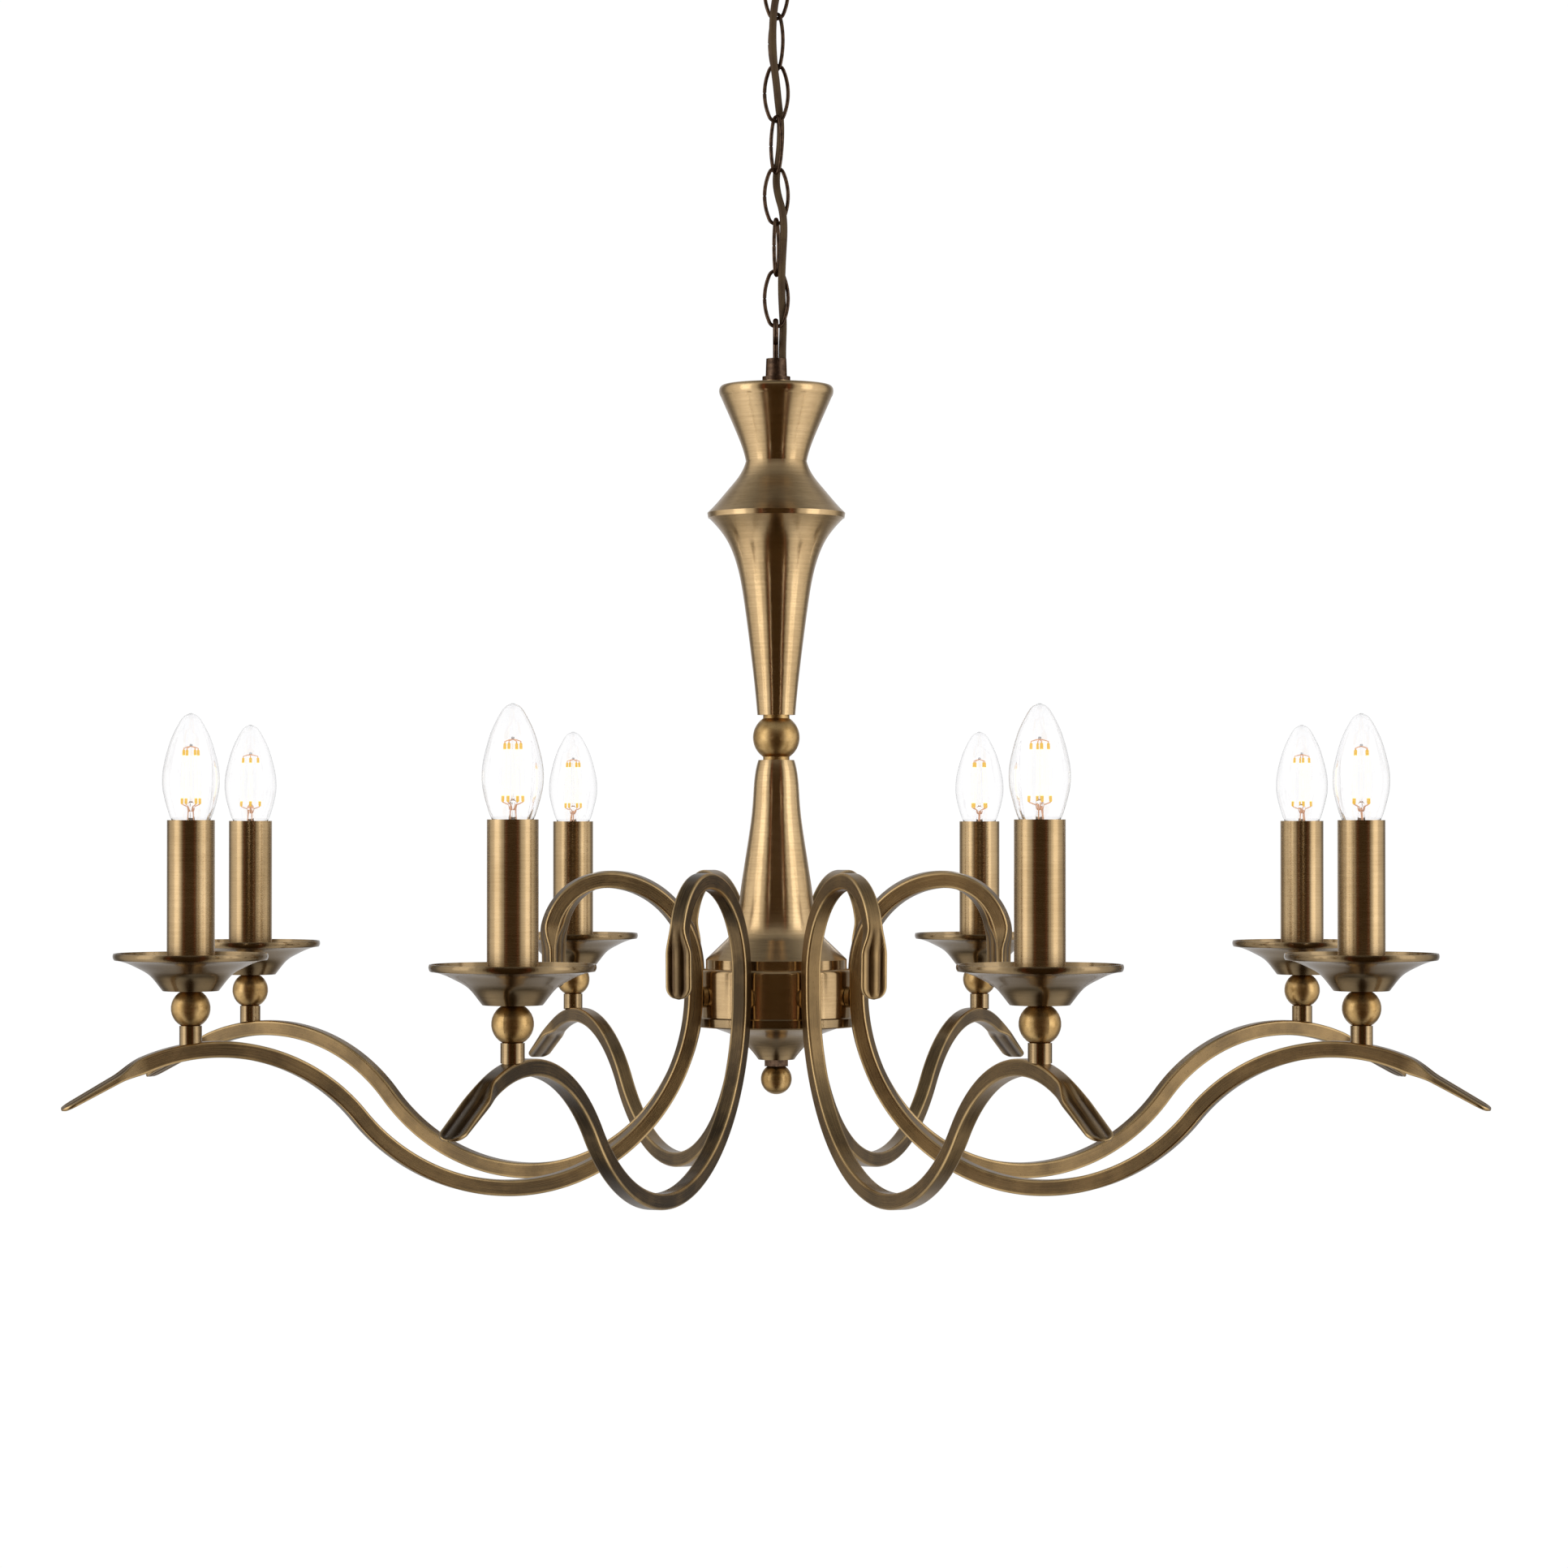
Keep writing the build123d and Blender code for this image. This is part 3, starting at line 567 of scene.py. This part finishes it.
# ---- arms, in millimetres in the (distance from the column, z) plane ---------------------------------
TUBE = 10.0
TUBE_CORNER = 1.5
LEAF_WIDTH, LEAF_THICK = 17.0, 4.0
INNER_TIP_THICK, OUTER_TIP_THICK = 3.0, 2.2
LEAF_END_R = 8.0
HUB_SIDE_X = 57.0
SCROLL_SMALL = (117.0, -721.0, 38.0)
SCROLL_BIG = (117.0, -743.0, 60.0)
BOWL_IN = (178.0, -754.5, 121.0)
BOWL_OUT = (178.0, -744.5, 131.0)
CREST_X, CREST_Z = 370.0, -902.9
CREST = (CREST_X, CREST_Z, hypot(CREST_X - BOWL_OUT[0], CREST_Z - BOWL_OUT[1]) - BOWL_OUT[2])
CREST_START = degrees(atan2(BOWL_OUT[1] - CREST_Z, BOWL_OUT[0] - CREST_X))
TIP_FALL = 28.0
ARM_TIP_R = 465.0
INNER_LEAF_Z = -754.7
INNER_LEAF_LENGTH, INNER_FLATTENING = 26.7, 17.6
OUTER_LEAF_LENGTH, OUTER_FLATTENING = 37.0, 20.2
ARM_STEP, LEAF_STEP = 2.2, 0.8  # between rings
LEAF_RAMP = 6.0  # the pressed channels start this far from a leaf's tip, fading in
# of each channel and of the rib between them; _AT and _HALF are shares of half the leaf's width
CHANNEL_AT, CHANNEL_DEPTH, CHANNEL_HALF = 0.45, 0.75, 0.16
RIB_HEIGHT, RIB_HALF = 0.25, 0.2
# points across a flat side, as shares of half of it
FLAT_STEPS = (-0.95, -0.85, -0.72, -0.6, -0.5, -0.4, -0.28, -0.14, 0.0,
              0.14, 0.28, 0.4, 0.5, 0.6, 0.72, 0.85, 0.95)
CORNER_TURNS = (0, 22.5, 45, 67.5, 90)
ARM_PAINTED_LIGHT = (0.18, 0.25, 0.30, 0.12, 0.14, -0.25, 0.38, 0.22)  # painted light and shade: how much each arm is lightened or darkened, as it stands to the light


def arc_points(circle, start, end):
    """(x, z, direction of travel) along an arc, in degrees from outwards."""
    x, z, r = circle
    steps = max(2, round(abs(radians(end - start)) * r / ARM_STEP))
    forward = 90 if end > start else -90
    angles = [start + (end - start) * i / steps for i in range(steps)]
    return [(x + r * cos(radians(a)), z + r * sin(radians(a)), a + forward) for a in angles]


def line_points(start, end, direction, step=ARM_STEP):
    """(x, z, direction of travel) along a straight run."""
    run_x, run_z = end[0] - start[0], end[1] - start[1]
    steps = max(1, round(hypot(run_x, run_z) / step))
    return [(start[0] + run_x * i / steps, start[1] + run_z * i / steps, direction) for i in range(steps)]


def arm_spine():
    """From the inner leaf's tip, over the scroll, down past the hub and out to the arm's tip."""
    side_x = SCROLL_SMALL[0] + SCROLL_SMALL[2]
    fall = radians(90 - TIP_FALL)
    fall_x, fall_z = CREST_X + CREST[2] * cos(fall), CREST_Z + CREST[2] * sin(fall)
    tip = (ARM_TIP_R, fall_z - (ARM_TIP_R - fall_x) * sin(radians(TIP_FALL)) / cos(radians(TIP_FALL)))
    spine = line_points((side_x, INNER_LEAF_Z), (side_x, SCROLL_SMALL[1]), 90, LEAF_STEP)
    spine += arc_points(SCROLL_SMALL, 0, 90)
    spine += arc_points(SCROLL_BIG, 90, 180)
    spine += line_points((HUB_SIDE_X, SCROLL_BIG[1]), (HUB_SIDE_X, BOWL_IN[1]), 270)
    spine += arc_points(BOWL_IN, 180, 270)
    spine += arc_points(BOWL_OUT, 270, CREST_START + 180)
    spine += arc_points(CREST, CREST_START, 90 - TIP_FALL)
    spine += line_points((fall_x, fall_z), tip, -TIP_FALL, LEAF_STEP)
    return spine + [(*tip, -TIP_FALL)]


def eased(share):
    share = min(max(share, 0.0), 1.0)
    return share * share * (3 - 2 * share)


def section(width, thick, corner):
    """Rounded rectangle as (sideways, outward, closeness to a corner) points, starting at one side."""
    half_w, half_t = width / 2, thick / 2
    corner = min(corner, 0.98 * half_t, 0.98 * half_w)
    flat_w, flat_t = half_w - corner, half_t - corner
    points = []
    for quarter, (sign_w, sign_t) in enumerate([(1, 1), (-1, 1), (-1, -1), (1, -1)]):
        # one flat side, then the corner after it, going round
        for f in FLAT_STEPS:
            along_w, along_t = f * flat_w, f * flat_t
            sides = [(half_w, along_t), (-along_w, half_t), (-half_w, -along_t), (along_w, -half_t)]
            points.append((*sides[quarter], 0.0))
        for turn in CORNER_TURNS:
            angle = radians(turn + 90 * quarter)
            side, up = sign_w * flat_w + corner * cos(angle), sign_t * flat_t + corner * sin(angle)
            points.append((side, up, 1.0 - 0.75 * abs(turn - 45) / 45))
    return points


def leaf_size(gone, left):
    """How far the tube is pressed flat, its width and its thickness, from the way to each of its tips."""
    inner = 1 - eased((gone - INNER_LEAF_LENGTH) / INNER_FLATTENING)
    outer = 1 - eased((left - OUTER_LEAF_LENGTH) / OUTER_FLATTENING)
    flat = max(inner, outer)
    tip_thick = INNER_TIP_THICK if inner > outer else OUTER_TIP_THICK
    reach = INNER_LEAF_LENGTH if inner > outer else OUTER_LEAF_LENGTH
    from_tip = min(gone, left)
    leaf_thick = tip_thick + (LEAF_THICK - tip_thick) * min(1.0, from_tip / reach)
    width = TUBE + (LEAF_WIDTH - TUBE) * flat
    thick = TUBE + (leaf_thick - TUBE) * flat
    if from_tip < LEAF_END_R:
        width = 1.0 + 2 * sqrt(LEAF_END_R ** 2 - (LEAF_END_R - from_tip) ** 2)
        thick = leaf_thick * (0.35 + 0.65 * eased(0.15 + from_tip / 2.2))
    return flat, width, thick


def hump(value, centre, half):
    """1 at the centre, falling away to each side."""
    return exp(-((value - centre) / half) ** 2)


def arm_mesh(golden):
    """Square tube along the spine, with a pressed leaf at each end."""
    spine = arm_spine()
    travelled = [0.0]
    for a, b in zip(spine, spine[1:]):
        travelled.append(travelled[-1] + hypot(b[0] - a[0], b[1] - a[1]))
    rings, wear, crease, along, around = [], [], [], [], []
    for (x, z, direction), gone in zip(spine, travelled):
        left = travelled[-1] - gone
        flat, width, thick = leaf_size(gone, left)
        outward = Vector((-sin(radians(direction)), 0, cos(radians(direction))))
        centre = Vector((x, 0, z))
        ring = []
        for side, up, near in section(width, thick, TUBE_CORNER - 0.3 * flat):
            across = abs(side) / (width / 2)
            on_face = 1.0 if abs(up) > 0.35 * thick else 0.0
            # pressed faces: a shallow channel each side of a low rib down the middle
            pressed = flat * on_face * eased(min(gone, left) / LEAF_RAMP)
            channel = CHANNEL_DEPTH * hump(across, CHANNEL_AT, CHANNEL_HALF)
            dip = pressed * (channel - RIB_HEIGHT * hump(across, 0.0, RIB_HALF))
            up_cut = up - dip * (1 if up > 0 else -1)
            ring.append((centre + Vector((0, side, 0)) + outward * up_cut) * MM)
            # worn gold on the tube's corners, plus a painted glint line near each leaf's edge
            wear.append(near * (0.95 - 0.35 * flat) + 0.35 * flat * hump(across, 0.85, 0.12))
            # painted shade along each pressed channel of the leaf
            crease.append(0.8 * pressed * hump(across, CHANNEL_AT, 0.13))
            along.append(gone * MM)
            around.append(atan2(up, side) * TUBE / 2 * MM)
        rings.append(ring)
    points, faces = skin(rings)
    return mesh_of("arm_tube", points, faces, wear=np.clip(wear, 0, 1), crease=np.clip(crease, 0, 1),
                   along=along, around=around, golden=[golden] * len(points))


def make_arms(material):
    for number, golden in enumerate(ARM_PAINTED_LIGHT, 1):
        mesh = arm_mesh(golden)
        mesh.transform(arm_turn(number))
        arm = add_piece(f"arm_tube_{number}", mesh, material)
        weighted = arm.modifiers.new("weighted", "WEIGHTED_NORMAL")
        weighted.weight = 80
        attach(arm, "fixture")
        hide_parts(f"arm_{number}")


# ---- candle lamps, in millimetres above the foot of the glass -----------------------------------------
GLASS_OUTLINE = [(6.4, 0), (8.6, 3.2), (12.7, 9.8), (16.6, 23.5), (17.4, 32.5), (16.4, 41.6),
                 (12.7, 55.3), (8.6, 64.4), (4.6, 70.6), (0.0, 73.0)]
GLASS_WALL = 0.5
GLASS_H = 73.0
FILAMENTS = 4
FILAMENT_R, FILAMENT_RING = 0.70, 5.6
FILAMENT_LEAN = 0.12  # in at the top and out at the foot, as a share of the ring
FILAMENT_LOW, FILAMENT_HIGH = 17.5, 50.5
FILAMENT_END = 0.11  # its dull ends, as a share of its length
FILAMENT_STEPS = (0.0, 0.015, 0.10, 0.115, 0.5, 0.885, 0.90, 0.985, 1.0)
PRESS_Z, SPIDER_Z = 13.0, 52.6
SUPPORT_R = 0.33
CAP_R, CAP_H, CAP_THREAD, THREAD_DEPTH = 6.7, 25.0, 2.8, 0.7
LAMP_TURN, LAMP_TURN_STEP = 17, 31  # degrees, so that no two lamps stand alike


def glass_mesh():
    """Blown candle shell, open at its foot."""
    outline = smooth_line(GLASS_OUTLINE, 8)
    outer = [(max(r, 0.0), h) for r, h in outline[:-1]] + [(0.0, GLASS_H)]
    inner = [(max(r - GLASS_WALL, 0.0), h) for r, h in outline[:-2]] + [(0.0, GLASS_H - GLASS_WALL - 0.3)]
    inner[0] = (GLASS_OUTLINE[0][0] - GLASS_WALL, GLASS_WALL)
    return lathe_mesh("lamp_glass", outer + inner[::-1], count=64, closed=True)


def stem_mesh():
    """Flared glass stem, its flattened press, and the thin rod up to the spider."""
    foot = [(4.6, 1.0), (4.2, 3.0), (3.0, 5.5), (2.3, 9.0)]
    press = [(2.1, 13.5), (2.5, 15.5), (2.2, 17.5), (1.0, 19.0)]
    rod = [(0.7, 21.0), (0.55, 30.0), (0.55, 52.0), (0.9, 53.0), (0.7, 54.0)]
    profile = [(0.0, 1.0)] + smooth_line(foot + press + rod, 4) + [(0.0, 54.4)]
    return lathe_mesh("lamp_stem", profile, count=24)


def filament_outs():
    """Level directions from the lamp's axis to its filaments."""
    turns = [radians(45 + 360 / FILAMENTS * i) for i in range(FILAMENTS)]
    return [Vector((cos(turn), sin(turn), 0)) for turn in turns]


def filament_mesh():
    """Upright filaments, each leaning a little, with dull ends."""
    count = 10  # points round each
    points, faces, ends = [], [], []
    for out in filament_outs():
        rings = []
        for share in FILAMENT_STEPS:
            lean = FILAMENT_RING * (1 + FILAMENT_LEAN - 2 * FILAMENT_LEAN * share)
            height = FILAMENT_LOW + (FILAMENT_HIGH - FILAMENT_LOW) * share
            dull = not FILAMENT_END <= share <= 1 - FILAMENT_END
            thickness = 0.7 if share in (0.0, 1.0) else 1.25 if dull else 0.9
            centre = out * lean + Vector((0, 0, height))
            radius = FILAMENT_R * thickness * MM
            rings.append(circle_ring(centre * MM, Vector((1, 0, 0)), Vector((0, 1, 0)), radius, count))
            ends += [float(dull)] * count
        more, skins = skin(rings)
        faces += [tuple(k + len(points) for k in face) for face in skins]
        points += more
    return mesh_of("lamp_filaments", points, faces, ends=ends)


def wire_mesh():
    """Support wires from the press to the filaments, and the spider that joins their tops."""
    low, high = FILAMENT_RING * (1 + FILAMENT_LEAN), FILAMENT_RING * (1 - FILAMENT_LEAN)
    lines = []
    for out in filament_outs():
        foot = [(0.8, PRESS_Z), (1.9, PRESS_Z + 2.9), (3.9, PRESS_Z + 3.5), (low, FILAMENT_LOW)]
        top = [(0, SPIDER_Z), (2.2, SPIDER_Z - 0.4), (high, SPIDER_Z - 1.2), (high, FILAMENT_HIGH)]
        for wire in (foot, top):
            lines.append([(out * reach + Vector((0, 0, height))) * MM for reach, height in wire])
    for side in (-1, 1):
        lead = [(side * 1.3, 0, 1.5), (side * 1.5, 0.3, 8.0), (side * 1.0, 0, 15.5)]
        lines.append([Vector(point) * MM for point in lead])
    return tube_mesh("lamp_wires", lines, SUPPORT_R * MM, count=8)


def cap_mesh():
    """Screw cap with a rounded thread and the contact under it."""
    profile = [(0.0, -CAP_H), (2.4, -CAP_H), (2.6, -CAP_H + 1.2), (4.6, -CAP_H + 2.6), (5.4, -CAP_H + 3.4)]
    turns = int((CAP_H - 6.5) / CAP_THREAD)
    for i in range(turns * 8 + 1):
        height = -CAP_H + 3.6 + i * CAP_THREAD / 8
        profile.append((CAP_R - THREAD_DEPTH / 2 * (1 - cos(2 * pi * i / 8)), height))
    profile += [(CAP_R - THREAD_DEPTH, -2.0), (CAP_R - 0.2, -1.2), (CAP_R, -0.4), (CAP_R - 0.2, 0.4)]
    profile += [(5.0, 0.6), (0.0, 0.6)]
    return lathe_mesh("lamp_cap", profile, count=48)


def make_lamps(materials):
    # piece, its mesh, its material and its slot name
    meshes = [
        ("lamp_glass", glass_mesh(), "clear_glass", "clear_glass"),
        ("lamp_stem", stem_mesh(), "stem_glass", "clear_glass"),
        ("lamp_filaments", filament_mesh(), "filament_glow", "clear_glass"),
        ("lamp_wires", wire_mesh(), "copper_wire", "zinc_steel"),
        ("lamp_cap", cap_mesh(), "zinc_steel", "zinc_steel"),
    ]
    for number in range(1, ARM_COUNT + 1):
        low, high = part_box(f"bulb_{number}")
        foot = Vector(((low.x + high.x) / 2, (low.y + high.y) / 2, high.z - GLASS_H * MM))
        turn = radians(LAMP_TURN + LAMP_TURN_STEP * number)
        place = Matrix.Translation(foot) @ Matrix.Rotation(turn, 4, "Z")
        for name, mesh, finish, slot in meshes:
            piece = add_piece(f"{name}_{number}", mesh, materials[finish], place)
            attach(piece, f"lamp_{number}")
            if name == "lamp_glass":
                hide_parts(f"bulb_{number}")


# ---- finishes on the CAD nodes -------------------------------------------------------------------------
NODE_FINISH = {
    "brushed_brass": ["top_cup", "shoulder_cone", "trumpet", "bell", "hub_drum"],
    # the darker brass here is painted shade on the plate, cap and stems
    "shaded_brass": ["hub_plate", "bottom_cap", "candle_stems"],
    "pitted_brass": ["column_ball", "candle_balls", "finial_ball", "arm_washers"],
    "dark_bronze": ["ceiling_rose", "ceiling_loop", "column_loop", "finial_nut"],
    "zinc_steel": ["ceiling_plate", "centre_rod", "arm_bolts"],
    "white_moulding": ["terminal_block", "hub_connector", "lampholders"],
    "wire_cover": ["arm_wires"],
}


def finish_nodes(materials):
    for finish, names in NODE_FINISH.items():
        for name in names:
            paint(nodes[name], materials[finish])
    for number in range(1, ARM_COUNT + 1):
        paint(nodes[f"pan_{number}"], materials["pan_brass"])
        paint(nodes[f"sleeve_{number}"], materials["sleeve_brass"])


def paint(piece, material):
    piece.data.materials.clear()
    piece.data.materials.append(material)


# ---- studio ----------------------------------------------------------------------------------------------
FLOOR_Z, FLOOR_HALF = -2.8, 9.0
SOFTBOX_PLACE, SOFTBOX_SIZE, SOFTBOX_POWER = (1.9, -0.9, -0.3), (0.9, 1.8), 4
WHITE_STRENGTH = 1.02


def make_floor(material):
    corners = [(x * FLOOR_HALF, y * FLOOR_HALF, FLOOR_Z) for x, y in ((-1, -1), (1, -1), (1, 1), (-1, 1))]
    floor = add_piece("floor", mesh_of("floor", corners, [(0, 1, 2, 3)]), material)
    floor.visible_glossy = False  # the brass mirrors the studio's bright and dark panels, not the floor


# how far back from the camera's side (0) to the far side (1), and the light's red, green and blue there
PANELS = [
    (0.000, (0.054, 0.028, 0.005)),
    (0.038, (0.050, 0.022, 0.004)),
    (0.052, (0.260, 0.070, 0.022)),
    (0.066, (0.050, 0.024, 0.006)),
    (0.085, (0.140, 0.100, 0.060)),
    (0.125, (0.780, 0.760, 0.730)),
    (0.170, (0.900, 0.880, 0.850)),
    (0.260, (1.260, 1.240, 1.210)),
    (0.500, (1.100, 1.070, 1.030)),
    (0.720, (0.720, 0.690, 0.630)),
    (0.800, (0.300, 0.280, 0.250)),
    (0.880, (0.200, 0.185, 0.170)),
    (1.000, (0.600, 0.600, 0.610)),
]
# height of the direction, the share of the panels' light left there, and the ceiling's own light
HEIGHTS = [(-1.0, 0.36, 0.0), (-0.78, 0.88, 0.0), (-0.5, 1.0, 0.0), (0.48, 1.0, 0.0), (0.71, 0.2, 0.36),
           (0.86, 0.04, 0.30), (0.94, 0.0, 0.20), (1.0, 0.0, 0.12)]
BAND_TOP = 2.0  # the brightest that a colour band can hold


def colour_band(tree, value, stops, top=BAND_TOP):
    """Colour ramp over stops of (place, colour); colours are divided by top so that they stay under 1."""
    band = tree.nodes.new("ShaderNodeValToRGB")
    band.color_ramp.interpolation = "LINEAR"
    for index, (place, shade) in enumerate(stops):
        stop = band.color_ramp.elements[index] if index < 2 else band.color_ramp.elements.new(place)
        stop.position = place
        stop.color = (*(part / top for part in shade), 1)
    tree.links.new(value, band.inputs[0])
    return band.outputs[0]


def make_world():
    """White studio in which polished parts mirror upright panels: dark in front and bright to each side."""
    world = bpy.data.worlds.new("studio")
    scene.world = world
    world.use_nodes = True
    tree = world.node_tree
    tree.nodes.clear()
    make, link = tree.nodes.new, tree.links.new
    direction = make("ShaderNodeSeparateXYZ")
    link(make("ShaderNodeTexCoord").outputs["Generated"], direction.inputs[0])
    level = make("ShaderNodeCombineXYZ")
    link(direction.outputs["X"], level.inputs["X"])
    link(direction.outputs["Y"], level.inputs["Y"])
    flat = make("ShaderNodeVectorMath")
    flat.operation = "NORMALIZE"
    link(level.outputs[0], flat.inputs[0])
    depth = make("ShaderNodeSeparateXYZ")
    link(flat.outputs[0], depth.inputs[0])
    turns = []
    for value in (depth.outputs["Y"], direction.outputs["Z"]):
        turn = make("ShaderNodeMapRange")
        turn.inputs["From Min"].default_value = -1.0
        link(value, turn.inputs["Value"])
        turns.append(turn.outputs[0])
    panels = colour_band(tree, turns[0], PANELS)
    left = colour_band(tree, turns[1], [((z + 1) / 2, (share,) * 3) for z, share, _ in HEIGHTS], top=1.0)
    above = colour_band(tree, turns[1], [((z + 1) / 2, (glow,) * 3) for z, _, glow in HEIGHTS])
    light = make("ShaderNodeVectorMath")
    light.operation = "MULTIPLY_ADD"
    link(panels, light.inputs[0])
    link(left, light.inputs[1])
    link(above, light.inputs[2])
    shown = make("ShaderNodeBackground")
    lit = make("ShaderNodeBackground")
    shown.inputs["Color"].default_value = (1, 1, 1, 1)
    shown.inputs["Strength"].default_value = WHITE_STRENGTH
    link(light.outputs[0], lit.inputs["Color"])
    lit.inputs["Strength"].default_value = BAND_TOP
    path = make("ShaderNodeLightPath")
    mirrored = make("ShaderNodeMath")
    mirrored.operation = "SUBTRACT"
    mirrored.use_clamp = True
    link(path.outputs["Is Glossy Ray"], mirrored.inputs[0])
    link(path.outputs["Is Transmission Ray"], mirrored.inputs[1])
    both = make("ShaderNodeMixShader")
    link(mirrored.outputs[0], both.inputs[0])
    link(shown.outputs[0], both.inputs[1])
    link(lit.outputs[0], both.inputs[2])
    output = make("ShaderNodeOutputWorld")
    link(both.outputs[0], output.inputs[0])


def make_softbox(name, side):
    """Upright soft light to one side, aimed at the middle of the column."""
    place = Vector(SOFTBOX_PLACE) * Vector((side, 1, 1))
    data = bpy.data.lights.new(name, "AREA")
    data.shape = "RECTANGLE"
    data.size, data.size_y = SOFTBOX_SIZE
    data.energy = SOFTBOX_POWER
    data.color = (1.0, 0.985, 0.96)
    lamp = bpy.data.objects.new(name, data)
    lamp.location = place
    aim = Vector((0, 0, -0.7)) - place
    lamp.rotation_euler = aim.to_track_quat("-Z", "Y").to_euler()
    scene.collection.objects.link(lamp)


# ---- making it all -----------------------------------------------------------------------------------------
make_camera()
scene.view_settings.view_transform = "Standard"
materials = {
    "brushed_brass": brushed_brass("brushed_brass"),
    # painted shade: darker copies of the brushed brass for the plate, cap, stems, pans and sleeves
    "shaded_brass": brushed_brass("shaded_brass", 0.62),
    "pan_brass": brushed_brass("pan_brass", 0.46),
    "sleeve_brass": brushed_brass("sleeve_brass", 0.84, 0.22),
    "pitted_brass": pitted_brass(),
    "arm_brass": arm_brass(),
    "dark_bronze": dark_bronze(),
    "zinc_steel": zinc_steel(),
    "flex_cover": flex_cover(),
    "white_moulding": moulded("white_moulding", colour(0.70, 0.68, 0.62), colour(0.82, 0.80, 0.74)),
    "wire_cover": moulded("wire_cover", colour(0.40, 0.30, 0.16), colour(0.52, 0.40, 0.22)),
    "clear_glass": clear_glass("clear_glass"),
    "stem_glass": clear_glass("stem_glass", 0.02),
    "filament_glow": filament_glow(),
    "copper_wire": copper_wire(),
}
make_flex(materials["flex_cover"])
make_chain(materials["dark_bronze"])
make_arms(materials["arm_brass"])
make_lamps(materials)
finish_nodes(materials)
make_floor(studio_white())
make_world()
make_softbox("softbox_left", -1)
make_softbox("softbox_right", 1)
